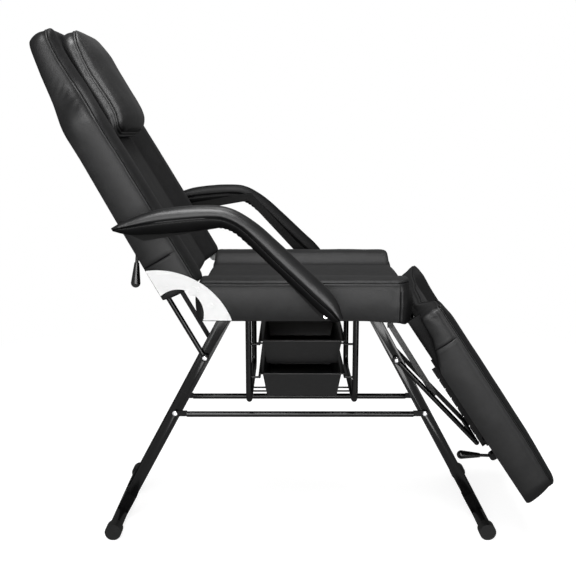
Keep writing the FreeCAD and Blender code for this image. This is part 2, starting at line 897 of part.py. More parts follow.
def back_board():
    """Plywood behind the back foam, inside the skirt."""
    under = back_seam_rise - back_cushion_depth
    board = back_plan(back_skirt_wall + board_edge_gap, under - board_thickness, under)
    keep = side_prism([
        (-back_start, under, 0), (-back_end, under, 0),
        (-back_end, -back_skirt_depth_top + board_edge_gap, 0),
        (-back_kink_station, under - board_thickness, 0),
        (-back_start, under - board_thickness, 0),
    ], -seat_half_width, seat_half_width)
    return to_back(board.common(keep))


def back_rails():
    """Two steel rails on the back board, with a cross strap at each end, that carry the rack."""
    top = back_seam_rise - back_cushion_depth - board_thickness
    z = top - rack_rail_size / 2
    pieces = []
    for side in (-1, 1):
        y = side * rack_rail_half_spacing
        start = V(-back_start - rack_rail_size, y, z)
        end = V(-back_rack_end, y, z)
        pieces.append(square_tube(start, end, rack_rail_size, rail_wall))
    reach = rack_rail_half_spacing - rack_rail_size / 2
    for x in (-back_rack_start + rack_rail_size / 2, -back_rack_end + rack_rail_size / 2):
        pieces.append(square_tube(V(x, -reach, z), V(x, reach, z), rack_rail_size, rail_wall))
    return to_back(group(pieces))


def toothed_rack(start, end, teeth_level, direction):
    """Flat rack with hooked notches along its lower edge, lying flat."""
    x0 = start * direction
    x1 = end * direction
    top = teeth_level + rack_height
    half = rack_thickness / 2
    body = box_between(min(x0, x1), max(x0, x1), -half, half, teeth_level, top)
    station = start + rack_tooth_pitch
    while station < end - rack_tooth_pitch:
        x = station * direction
        notch = side_prism([
            (x, teeth_level - rack_tooth_depth, 0),
            (x, teeth_level + rack_tooth_depth, 0),
            (x + direction * rack_tooth_width, teeth_level - rack_tooth_depth, 0),
        ], -rack_thickness, rack_thickness)
        body = body.cut(notch)
        station += rack_tooth_pitch
    return body


def rack_posts(start, end, teeth_level, ceiling, direction):
    """Two U brackets that hold the rack off the rails."""
    posts = []
    for station in (start - rack_rail_size, end - rack_rail_size):
        x0 = station * direction
        x1 = (station + rack_rail_size) * direction
        low = teeth_level + rack_tooth_depth + rack_tooth_depth
        near = min(x0, x1)
        far = max(x0, x1)
        half = rack_thickness / 2
        block = box_between(near, far, -rack_post_half_breadth, rack_post_half_breadth, low, ceiling)
        rack_top = teeth_level + rack_height
        slot = box_between(near - overrun, far + overrun, -half, half, low - overrun, rack_top)
        posts.append(block.cut(slot))
    return group(posts)


def back_teeth_level():
    """Height of the tips of the back rack, lying flat."""
    return -back_brace_tip_depth + brace_rod_radius + rack_rod_gap


def leg_teeth_level():
    """Height of the tips of the leg rest rack, lying flat."""
    return -leg_brace_tip_depth + brace_rod_radius + rack_rod_gap


def back_rack():
    """Toothed rack behind the back board."""
    return to_back(toothed_rack(back_rack_start, back_rack_end, back_teeth_level(), -1))


def back_rack_brackets():
    """Brackets between the back rails' straps and the rack."""
    ceiling = back_seam_rise - back_cushion_depth - board_thickness - rack_rail_size
    return to_back(rack_posts(back_rack_start, back_rack_end, back_teeth_level(), ceiling, -1))


def lever(pivot, hang_deg, reach, y):
    """Hub, thin rod and swollen grip in one piece, hanging at its angle from the hub."""
    turn = math.radians(hang_deg)
    run = V(math.cos(turn), 0, math.sin(turn))
    centre = V(pivot.x, y, pivot.z)
    half = lever_hub_width / 2
    hub = pin_y(pivot.x, pivot.z, y - half, y + half, lever_hub_radius)
    rod = bar(centre, centre + run * (reach + lever_grip_radius), lever_rod_radius)
    start = centre + run * reach
    neck = Part.makeCone(lever_grip_neck_radius, lever_grip_radius, lever_grip_length, start, run)
    end = start + run * lever_grip_length
    ball = Part.makeSphere(lever_grip_radius, end)
    bore = pin_y(pivot.x, pivot.z, y - overrun, y + overrun, stay_pin_radius + running_fit)
    return hub.fuse(rod).fuse(neck).fuse(ball).cut(bore)


def lever_lugs(pivot, y, up_to, breadth):
    """Two plates with a pin that hold a lever hub, running up to the board."""
    half = lever_hub_width / 2 + lever_side_gap
    run = up_to - pivot
    along = V(run.x, run.y, run.z).normalize()
    cross = V(along.z, 0, -along.x) * (breadth / 2)
    pieces = []
    for side in (-1, 1):
        y0 = min(side * half, side * (half + lever_lug_thickness)) + y
        corners = [pivot + cross, pivot - cross, up_to - cross, up_to + cross]
        face = Part.Face(Part.makePolygon([V(p.x, y0, p.z) for p in corners + corners[:1]]))
        plate = face.extrude(V(0, lever_lug_thickness, 0))
        plate = plate.fuse(pin_y(pivot.x, pivot.z, y0, y0 + lever_lug_thickness, breadth / 2))
        pieces.append(plate)
    reach = half + lever_lug_thickness
    pin = pin_y(pivot.x, pivot.z, y - reach, y + reach, stay_pin_radius)
    return pieces[0].fuse(pieces[1]).fuse(pin)


def back_lever_pivot():
    """Pivot of the back release lever."""
    return back_point(back_lever_station, -back_lever_depth)


def leg_lever_pivot():
    """Pivot of the leg rest release lever."""
    return leg_point(leg_lever_station, -leg_lever_depth)


def back_lever():
    """Release lever that hangs behind the back rest."""
    return lever(back_lever_pivot(), back_lever_hang_deg, back_lever_reach, back_lever_y)


def back_lever_bracket():
    """Lugs that carry the back release lever on the board."""
    under = back_seam_rise - back_cushion_depth - board_thickness
    root = back_point(back_lever_station, under)
    return lever_lugs(back_lever_pivot(), back_lever_y, root, lever_hub_radius + lever_hub_radius)


def leg_lever():
    """Release lever below the foot end of the leg rest."""
    return lever(leg_lever_pivot(), leg_lever_hang_deg, leg_lever_reach, leg_lever_y)


def leg_lever_bracket():
    """Lugs that carry the leg rest release lever on the board."""
    root = leg_point(leg_lever_station, leg_board_under())
    return lever_lugs(leg_lever_pivot(), leg_lever_y, root, lever_hub_radius + lever_hub_radius)


def leg_plan(inset, z0, z1):
    """Leg rest outline from above, drawn in by an inset."""
    w = seat_half_width - side_pull_in - inset
    x0 = leg_start + inset
    x1 = leg_end - inset
    near = max(leg_start_corner - inset, paint_gap)
    foot = leg_end_corner - inset
    return plan_prism([(x0, -w, near), (x1, -w, foot), (x1, w, foot), (x0, w, near)], z0, z1)


def leg_side_outline():
    """Side outline of the whole leg rest, lying flat."""
    top = leg_seam_rise + crown_height
    return [
        (leg_start, top, end_round),
        (leg_end, top, leg_foot_round),
        (leg_end, -leg_skirt_depth, leg_foot_round),
        (leg_start, -leg_skirt_depth, 0),
    ]


def leg_board_under():
    """Underside of the leg rest board, lying flat."""
    return leg_seam_rise - leg_cushion_depth - board_thickness


def leg_cushion():
    """Leg rest foam and cover down to the board."""
    under = leg_seam_rise - leg_cushion_depth
    top = leg_seam_rise + crown_height
    body = upholstered_section(leg_start, leg_end, seat_half_width, leg_seam_rise, under)
    outline = side_prism(leg_side_outline(), -seat_half_width - overrun, seat_half_width + overrun)
    plan = leg_plan(-side_pull_in, under - overrun, top + overrun)
    return to_leg(body.common(outline).common(plan))


def leg_skirt():
    """Covered board walls below the leg rest cushion, from the cross seam to the foot end."""
    under = leg_seam_rise - leg_cushion_depth
    low = -leg_skirt_depth
    ring = leg_plan(0, low, under).cut(leg_plan(leg_skirt_wall, low - overrun, under + overrun))
    reach = leg_end + overrun
    keep = box_between(leg_skirt_start, reach, -seat_half_width, seat_half_width, low - overrun, under)
    outline = side_prism(leg_side_outline(), -seat_half_width - overrun, seat_half_width + overrun)
    return to_leg(ring.common(keep).common(outline))


def leg_core():
    """Set-in covered walls next to the hinge, narrower than the leg rest above them."""
    top = leg_seam_rise - leg_cushion_depth
    w = leg_core_half_width
    low = -leg_skirt_depth
    walls = []
    for side in (-1, 1):
        y0 = min(side * w, side * (w - leg_core_wall))
        walls.append(box_between(leg_core_start, leg_core_end, y0, y0 + leg_core_wall, low, top))
    return to_leg(group(walls))


def leg_board():
    """Plywood under the leg rest foam."""
    under = leg_seam_rise - leg_cushion_depth
    inset = leg_skirt_wall + board_edge_gap
    board = leg_plan(inset, under - board_thickness, under)
    half = leg_core_half_width - leg_core_wall - board_edge_gap
    step = leg_core_end + board_edge_gap
    low = under - board_thickness
    neck = box_between(leg_start + inset, step, -half, half, low, under)
    body = box_between(step, leg_end, -seat_half_width, seat_half_width, low, under)
    return to_leg(board.common(neck.fuse(body)))


def leg_frame():
    """Two flat arms from the hinge pins, two rails and two straps below the leg rest board."""
    top = leg_board_under()
    z = top - rack_rail_size / 2
    inner = rail_half_spacing + rail_size / 2 + leg_arm_gap
    outer = inner + leg_arm_thickness
    pieces = []
    for side in (-1, 1):
        y0 = min(side * inner, side * outer)
        half = leg_arm_width / 2
        arm = box_between(0, leg_arm_end, y0, y0 + leg_arm_thickness, -half, half)
        arm = arm.fuse(pin_y(0, 0, y0, y0 + leg_arm_thickness, half))
        arm = arm.cut(pin_y(0, 0, y0 - overrun, y0 + overrun, leg_hinge_pin_radius + running_fit))
        rail_y = side * (inner - rack_rail_size / 2)
        rail = square_tube(V(leg_rail_start, rail_y, z), V(leg_rack_end, rail_y, z), rack_rail_size, rail_wall)
        pieces.append(arm)
        pieces.append(rail)
    reach = inner - rack_rail_size
    for x in (leg_rack_start - rack_rail_size / 2, leg_rack_end - rack_rail_size / 2):
        pieces.append(square_tube(V(x, -reach, z), V(x, reach, z), rack_rail_size, rail_wall))
    return to_leg(group(pieces))


def leg_rack():
    """Toothed rack below the leg rest board."""
    return to_leg(toothed_rack(leg_rack_start, leg_rack_end, leg_teeth_level(), 1))


def leg_rack_brackets():
    """Brackets between the leg rest straps and the rack."""
    ceiling = leg_board_under() - rack_rail_size
    return to_leg(rack_posts(leg_rack_start, leg_rack_end, leg_teeth_level(), ceiling, 1))


def leg_stay():
    """Flat bar that hangs from the seat frame and follows the leg rest."""
    turn = math.radians(stay_angle_deg)
    run = V(math.cos(turn), 0, math.sin(turn))
    root = V(stay_root_x, 0, stay_root_z)
    end = root + run * stay_length
    cross = V(-run.z, 0, run.x) * (stay_width / 2)
    y0 = stay_y - stay_thickness / 2
    corners = [root + cross, root - cross, end - cross, end + cross]
    face = Part.Face(Part.makePolygon([V(p.x, y0, p.z) for p in corners + corners[:1]]))
    strip = face.extrude(V(0, stay_thickness, 0))
    for point in (root, end):
        strip = strip.fuse(pin_y(point.x, point.z, y0, y0 + stay_thickness, stay_width / 2))
    bore = pin_y(root.x, root.z, y0 - overrun, y0 + overrun, stay_pin_radius + running_fit)
    return strip.cut(bore)


def leg_stay_hanger():
    """Lug under the front cross rail with the pin that the stay turns on."""
    top = frame_top() - rail_size
    y0 = stay_y - stay_thickness / 2 - lever_side_gap - lever_lug_thickness
    half = stay_width / 2
    y1 = y0 + lever_lug_thickness
    low = stay_root_z - half
    start = cross_rail_front_x - rail_size / 2
    lug = box_between(start, stay_root_x + half, y0, y1, top - rail_size, top)
    drop = box_between(stay_root_x - half, stay_root_x + half, y0, y1, low, top)
    pin = pin_y(stay_root_x, stay_root_z, y0, stay_y + stay_thickness, stay_pin_radius)
    return lug.fuse(drop).fuse(pin).removeSplitter()


def plate_disc(radius, x, z, y0):
    """Round plate of the hinge plates' thickness."""
    return pin_y(x, z, y0, y0 + plate_thickness, radius)


def plate_blank(y0):
    """The crescent between the large arc and the round cut-out."""
    return plate_disc(plate_arc_radius, plate_arc_x, plate_arc_z, y0).cut(
        pin_y(plate_cut_x, plate_cut_z, y0 - overrun, y0 + overrun, plate_cut_radius))


def plate_holes(shape, y0, radius):
    """Bore the hinge pin hole."""
    return shape.cut(pin_y(back_pivot_x, back_pivot_z, y0 - overrun, y0 + overrun, radius))


def seat_plate_y():
    """Inner face of the seat's hinge plates."""
    return seat_half_width + seat_gap


def back_plate_y():
    """Inner face of the back's hinge plates, outside the seat's."""
    return seat_plate_y() + plate_thickness + paint_gap


def plate_reach():
    """A length past every edge of the hinge plates, for the shapes that trim them."""
    return plate_arc_radius + plate_arc_radius + overrun


def split_region(y0, right):
    """Half of the plane of the hinge plates, on one side of the line through the pin."""
    turn = math.radians(plate_split_deg)
    reach = plate_reach()
    along = V(math.cos(turn), 0, math.sin(turn)) * reach
    side = V(math.sin(turn), 0, -math.cos(turn)) * (reach if right else -reach)
    pin = V(back_pivot_x, y0 - overrun, back_pivot_z)
    corners = [pin - along, pin + along, pin + along + side, pin - along + side]
    return Part.Face(Part.makePolygon(corners + corners[:1])).extrude(V(0, overrun + overrun, 0))


def seat_hinge_plate():
    """White plate on the far side wall of the seat."""
    y0 = seat_plate_y()
    low = seam_height - seat_skirt_drop + plate_edge_margin
    keep = box_between(back_pivot_x - plate_reach(), 0, y0 - overrun, y0 + overrun, low, seam_height)
    plate = plate_blank(y0).common(split_region(y0, True)).common(keep)
    plate = plate.fuse(plate_disc(plate_ear_radius, back_pivot_x, back_pivot_z, y0))
    return plate_holes(plate, y0, plate_pin_radius)


def back_hinge_plate():
    """White plate on the far side wall of the back rest."""
    y0 = back_plate_y()
    low = back_point(-plate_reach(), -back_skirt_depth_low + plate_edge_margin)
    high = back_point(plate_reach(), -back_skirt_depth_low + plate_edge_margin)
    out = back_point(plate_reach(), plate_reach())
    out_low = back_point(-plate_reach(), plate_reach())
    corners = [V(p.x, y0 - overrun, p.z) for p in (low, high, out, out_low)]
    inside = Part.Face(Part.makePolygon(corners + corners[:1])).extrude(V(0, overrun + overrun, 0))
    plate = plate_blank(y0).common(split_region(y0, False)).common(inside)
    plate = plate.fuse(plate_disc(plate_ear_radius, back_pivot_x, back_pivot_z, y0))
    return plate_holes(plate, y0, plate_pin_radius + running_fit)


def hinge_pin():
    """Flanged pin, fixed in the seat's plate, that the back's plate turns on."""
    start = seat_plate_y()
    outer = back_plate_y() + plate_thickness + paint_gap
    shank = pin_y(back_pivot_x, back_pivot_z, start, outer, plate_pin_radius)
    head = pin_y(back_pivot_x, back_pivot_z, outer, outer + plate_pin_head_height, plate_pin_head_radius)
    return shank.fuse(head)


def seat_plate_screws():
    """Two button screws on each seat plate."""
    y1 = seat_plate_y() + plate_thickness
    screws = []
    for side in (-1, 1):
        for ahead, drop in (
            (seat_screw_low_ahead, seat_screw_low_drop),
            (seat_screw_high_ahead, seat_screw_high_drop),
        ):
            x = back_pivot_x + ahead
            z = back_pivot_z - drop
            y0 = min(side * y1, side * (y1 + plate_pin_head_height))
            screws.append(pin_y(x, z, y0, y0 + plate_pin_head_height, plate_bolt_head_radius))
    return group(screws)


def back_plate_spacers():
    """Washers between the back's side walls and its hinge plates, with the screw heads outside."""
    wall = seat_half_width + paint_gap
    pieces = []
    for station in (back_screw_low_station, back_screw_high_station):
        spot = back_point(station, -back_screw_depth)
        for side in (-1, 1):
            inner = min(side * wall, side * back_plate_y())
            outer = max(side * wall, side * back_plate_y())
            pieces.append(pin_y(spot.x, spot.z, inner, outer, plate_bolt_head_radius))
            face = back_plate_y() + plate_thickness
            head = min(side * face, side * (face + plate_pin_head_height))
            pieces.append(pin_y(spot.x, spot.z, head, head + plate_pin_head_height, plate_bolt_head_radius))
    return group(pieces)


def arm_pad(side):
    """Bent padded arm with soft edges."""
    outer = arm_centre_y + arm_half_width
    inner = arm_centre_y - arm_half_width
    y0 = min(side * inner, side * outer)
    y1 = max(side * inner, side * outer)
    corners = [
        (arm_tip_x, seam_height + arm_tip_rise, 0),
        (arm_crown_rear_x, seam_height + arm_crown_rear_rise, arm_bend_radius + arm_bend_radius),
        (arm_crown_mid_x, seam_height + arm_crown_mid_rise, 0),
        (arm_crown_front_x, seam_height + arm_crown_front_rise, arm_bend_radius),
        (arm_bend_top_x, seam_height + arm_bend_top_rise, arm_bend_radius),
        (arm_knee_top_x, seam_height + arm_knee_top_rise, 0),
        (arm_low_top_x, seam_height + arm_low_top_rise, arm_soft_radius),
        (arm_nose_x, seam_height + arm_nose_rise, arm_tip_radius),
        (arm_heel_x, seam_height + arm_heel_rise, arm_tip_radius),
        (arm_low_under_x, seam_height + arm_low_under_rise, 0),
        (arm_knee_under_x, seam_height + arm_knee_under_rise, arm_soft_radius),
        (arm_bend_under_x, seam_height + arm_bend_under_rise, arm_soft_radius),
        (arm_under_mid_x, seam_height + arm_under_mid_rise, 0),
        (arm_under_rear_x, seam_height + arm_under_rear_rise, arm_bend_radius),
    ]
    slab = side_prism(corners, y0, y1)
    rims = [edge for edge in slab.Edges if abs(edge.BoundBox.YLength) < running_fit]
    return slab.makeFillet(arm_pad_round, rims)


def arm_line():
    """Middle line of the arm bar from its rear end to its front end."""
    rear = V(arm_rear_pin_x, 0, arm_rear_pin_z)
    front = V(arm_front_pin_x, 0, arm_front_pin_z)
    return rear, front


def arm_bar(side):
    """Steel bar inside the arm, with a slot at the back rest and a hole at the seat."""
    rear, front = arm_line()
    outward = (rear - front).normalize()
    tail = rear + outward * arm_slot_travel
    inner = arm_centre_y - arm_half_width - arm_bar_thickness
    y0 = min(side * inner, side * (inner + arm_bar_thickness))
    half = arm_bar_width / 2
    knee = V(arm_bar_knee_x, 0, arm_bar_knee_z)
    stop = rear - outward * arm_bar_width
    strip = None
    for start, end in ((tail, stop), (stop, knee), (knee, front)):
        run = (end - start).normalize()
        cross = V(-run.z, 0, run.x) * half
        corners = [start + cross, start - cross, end - cross, end + cross]
        face = Part.Face(Part.makePolygon([V(p.x, y0, p.z) for p in corners + corners[:1]]))
        piece = face.extrude(V(0, arm_bar_thickness, 0))
        strip = piece if strip is None else strip.fuse(piece)
    for point in (tail, stop, knee, front):
        strip = strip.fuse(pin_y(point.x, point.z, y0, y0 + arm_bar_thickness, half))
    hole = pin_y(front.x, front.z, y0 - overrun, y0 + overrun, arm_pin_radius + running_fit)
    slot_half = arm_pin_radius + arm_slot_clearance
    cross = V(-outward.z, 0, outward.x) * slot_half
    corners = [rear + cross, rear - cross, tail - cross, tail + cross]
    face = Part.Face(Part.makePolygon([V(p.x, y0 - overrun, p.z) for p in corners + corners[:1]]))
    slot = face.extrude(V(0, overrun + overrun, 0))
    for point in (rear, tail):
        slot = slot.fuse(pin_y(point.x, point.z, y0 - overrun, y0 + overrun, slot_half))
    return strip.cut(hole).cut(slot).removeSplitter()


def arm_pin(x, z, wall_half_width, side):
    """Flange on a side wall with a stepped pin through the arm bar."""
    wall = wall_half_width + seat_gap
    bar_in = arm_centre_y - arm_half_width - arm_bar_thickness
    end = arm_centre_y - arm_half_width - arm_washer_gap
    flange = pin_y(x, z, wall, wall + arm_flange_thickness, arm_flange_radius)
    sleeve = pin_y(x, z, wall, bar_in - arm_washer_gap, arm_pin_nut_radius)
    pin = pin_y(x, z, wall, end, arm_pin_radius)
    whole = flange.fuse(sleeve).fuse(pin)
    return whole if side > 0 else mirrored(whole)


def pillow():
    """Head pillow: crowned front, flatter back, one seam around its sides."""
    floor = back_seam_rise - middle_sink + middle_crown + pillow_seat_gap
    edge = back_seam_rise + pillow_edge_rise
    top = back_seam_rise + pillow_crown
    low = -pillow_low
    high = -pillow_high
    middle = (low + high) / 2
    low_q = low + (high - low) * pillow_quarter_share
    high_q = high + (low - high) * pillow_quarter_share

    reach = pillow_half_width + overrun

    def at(x, z):
        return V(x, -reach, z)

    pieces = [
        Part.Arc(at(low, edge), at(low_q, top - pillow_end_drop), at(middle, top)),
        Part.Arc(at(middle, top), at(high_q, top - pillow_end_drop), at(high, edge)),
        Part.Arc(at(high, edge), at(high_q, floor + pillow_back_edge), at(middle, floor)),
        Part.Arc(at(middle, floor), at(low_q, floor + pillow_back_edge), at(low, edge)),
    ]
    wire = Part.Wire([piece.toShape() for piece in pieces])
    side = Part.Face(wire).extrude(V(0, reach + reach, 0))

    def across(y, z):
        return V(high - overrun, y, z)

    w = pillow_half_width
    half = w * pillow_shoulder_share
    ends = [
        Part.Arc(across(-w, edge), across(-half, top - pillow_side_drop), across(0, top)),
        Part.Arc(across(0, top), across(half, top - pillow_side_drop), across(w, edge)),
        Part.Arc(across(w, edge), across(half, floor + pillow_back_side), across(0, floor)),
        Part.Arc(across(0, floor), across(-half, floor + pillow_back_side), across(-w, edge)),
    ]
    wire = Part.Wire([piece.toShape() for piece in ends])
    front = Part.Face(wire).extrude(V(low - high + overrun + overrun, 0, 0))
    return to_back(side.common(front))


def build():
    """Every sub-part by name."""
    parts = {
        "seat_cushion": seat_cushion(),
        "seat_board": seat_board(),
        "seat_skirt": seat_skirt(),
        "seat_frame": seat_frame(),
        "leg_rest_hinge_pins": leg_hinge_pins(),
        "rear_leg_left": leg_drilled(-1, -1),
        "rear_leg_right": leg_drilled(-1, 1),
        "front_leg_left": leg_drilled(1, -1),
        "front_leg_right": leg_drilled(1, 1),
        "rear_floor_bar": floor_bar(-1),
        "front_floor_bar": floor_bar(1),
        "floor_bar_end_caps": end_caps(),
        "stretcher_left": stretcher(stretcher_left_y(), -1),
        "stretcher_right": stretcher(stretcher_right_y(), -1),
        "stretcher_bolts": stretcher_bolts(),
        "back_brace_bolts": brace_bolts(-1),
        "leg_brace_bolts": brace_bolts(1),
        "tray_hanger_rear": tray_rack(rack_rear_x),
        "tray_hanger_front": tray_rack(rack_front_x),
        "tray_runners": tray_runners(),
        "tray_cross_wires": tray_cross_wires(),
        "upper_tray": tray(upper_tray_z),
        "lower_tray": tray(lower_tray_z),
        "seat_hinge_plate_right": seat_hinge_plate(),
        "seat_hinge_plate_left": mirrored(seat_hinge_plate()),
        "back_hinge_plate_right": back_hinge_plate(),
        "back_hinge_plate_left": mirrored(back_hinge_plate()),
        "back_hinge_pins": pair(hinge_pin()),
        "seat_plate_screws": seat_plate_screws(),
        "back_plate_screws": back_plate_spacers(),
        "back_cushion": back_cushion(),
        "back_board": back_board(),
        "back_skirt": back_skirt(),
        "back_rails": back_rails(),
        "back_rack": back_rack(),
        "back_rack_brackets": back_rack_brackets(),
        "back_brace": brace(-1),
        "back_release_lever": back_lever(),
        "back_lever_bracket": back_lever_bracket(),
        "head_pillow": pillow(),
        "leg_cushion": leg_cushion(),
        "leg_board": leg_board(),
        "leg_skirt": leg_skirt(),
        "leg_side_infills": leg_core(),
        "leg_frame": leg_frame(),
        "leg_rack": leg_rack(),
        "leg_rack_brackets": leg_rack_brackets(),
        "leg_brace": brace(1),
        "leg_release_lever": leg_lever(),
        "leg_lever_bracket": leg_lever_bracket(),
        "leg_stay": leg_stay(),
        "leg_stay_hanger": leg_stay_hanger(),
    }
    for side, name in ((-1, "left"), (1, "right")):
        parts["armrest_%s_pad" % name] = arm_pad(side)
        parts["armrest_%s_bar" % name] = arm_bar(side)
        wall = seat_half_width - side_pull_in
        parts["armrest_%s_front_pin" % name] = arm_pin(arm_front_pin_x, arm_front_pin_z, wall, side)
        parts["armrest_%s_rear_pin" % name] = arm_pin(arm_rear_pin_x, arm_rear_pin_z, seat_half_width, side)
    return parts


def main():
    """Build and write every sub-part."""
    os.makedirs(part_dir, exist_ok=True)
    for name, shape in build().items():
        save(shape, name)


main()
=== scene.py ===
"""Reclining tattoo chair: padded seat, back rest and leg rest on a black tube frame."""

import json
import logging
import math
from dataclasses import dataclass
from enum import Enum
from functools import cached_property
from typing import Iterable, Sequence

import bmesh
import bpy
from mathutils import Matrix, Vector, noise


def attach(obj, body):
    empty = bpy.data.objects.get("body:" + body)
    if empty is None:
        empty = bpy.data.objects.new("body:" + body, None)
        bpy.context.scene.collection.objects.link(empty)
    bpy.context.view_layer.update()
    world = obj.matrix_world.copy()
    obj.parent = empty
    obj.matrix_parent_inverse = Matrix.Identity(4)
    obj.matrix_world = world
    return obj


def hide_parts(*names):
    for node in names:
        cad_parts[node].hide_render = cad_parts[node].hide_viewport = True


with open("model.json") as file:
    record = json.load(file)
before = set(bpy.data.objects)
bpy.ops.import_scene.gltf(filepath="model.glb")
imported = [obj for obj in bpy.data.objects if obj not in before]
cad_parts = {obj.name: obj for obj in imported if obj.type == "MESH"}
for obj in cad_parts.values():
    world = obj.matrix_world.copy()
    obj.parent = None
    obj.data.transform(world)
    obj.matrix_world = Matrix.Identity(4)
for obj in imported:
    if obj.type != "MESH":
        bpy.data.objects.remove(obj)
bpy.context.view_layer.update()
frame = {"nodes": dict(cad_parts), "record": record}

LOG = logging.getLogger("tattoo_chair")
MM = 0.001
WELD = 0.00001
THREAD_RADIUS = 0.00045

Triple = tuple[float, float, float]
Span = tuple[float, float]
Table = tuple[Span, ...]
Spots = list[tuple[Vector, Vector]]
Socket = bpy.types.NodeSocket


class Side(Enum):
    """The two sides of the chair: left faces the camera."""

    LEFT = -1
    RIGHT = 1


class Body(Enum):
    """Moving bodies of the chair, as the frame names them."""

    BASE = "base"
    BACK = "backrest"
    LEG = "legrest"
    PILLOW = "head_pillow"
    ARM_LEFT = "armrest_left"
    ARM_RIGHT = "armrest_right"
    UPPER_TRAY = "upper_tray"
    LOWER_TRAY = "lower_tray"


class Slot(Enum):
    """Material slots of the record."""

    VINYL = "black_vinyl"
    PLYWOOD = "plywood"
    STEEL = "black_steel"
    WHITE_STEEL = "white_steel"
    ZINC = "zinc_steel"
    RUBBER = "rubber_black"
    TRAY = "tray_plastic"
    GRIP = "grip_plastic"


def grey(level: float, blue: float = 0.0) -> Triple:
    """A grey with a little blue added."""
    return level, level, level + blue


class Nodes:
    """A node tree under construction."""

    def __init__(self, tree: bpy.types.NodeTree) -> None:
        """Take a tree over and empty it."""
        self.tree = tree
        self.tree.nodes.clear()

    def node(self, kind: str, **values: object) -> bpy.types.Node:
        """Add a node and set its properties and unlinked sockets.

        Args:
            kind: Blender's name of the node type.
            values: Properties by name, or socket values by socket name with spaces as underscores.

        Returns:
            The new node.
        """
        made = self.tree.nodes.new(kind)
        for name, value in values.items():
            socket = name.replace("_", " ")
            if socket in made.inputs:
                made.inputs[socket].default_value = value
            else:
                setattr(made, name, value)
        return made

    def link(self, start: Socket, end: Socket) -> None:
        """Join two sockets."""
        self.tree.links.new(start, end)

    def join(self, kind: str, *sources: Socket) -> Socket:
        """Add a node that mixes or adds shaders.

        Args:
            kind: Blender's name of the node type.
            sources: What its sockets take, in their order.

        Returns:
            The socket with the result.
        """
        made = self.node(kind)
        for source, socket in zip(sources, made.inputs):
            self.link(source, socket)
        return made.outputs[0]

    def rays(self, *kinds: str) -> Socket:
        """Tell the named kinds of rays from all others.

        Args:
            kinds: Names of the Light Path's outputs.

        Returns:
            A socket that is one for these rays and zero for others.
        """
        path = self.node("ShaderNodeLightPath")
        value = path.outputs[kinds[0]]
        for kind in kinds[1:]:
            either = self.node("ShaderNodeMath", operation="MAXIMUM")
            self.link(value, either.inputs[0])
            self.link(path.outputs[kind], either.inputs[1])
            value = either.outputs[0]
        return value


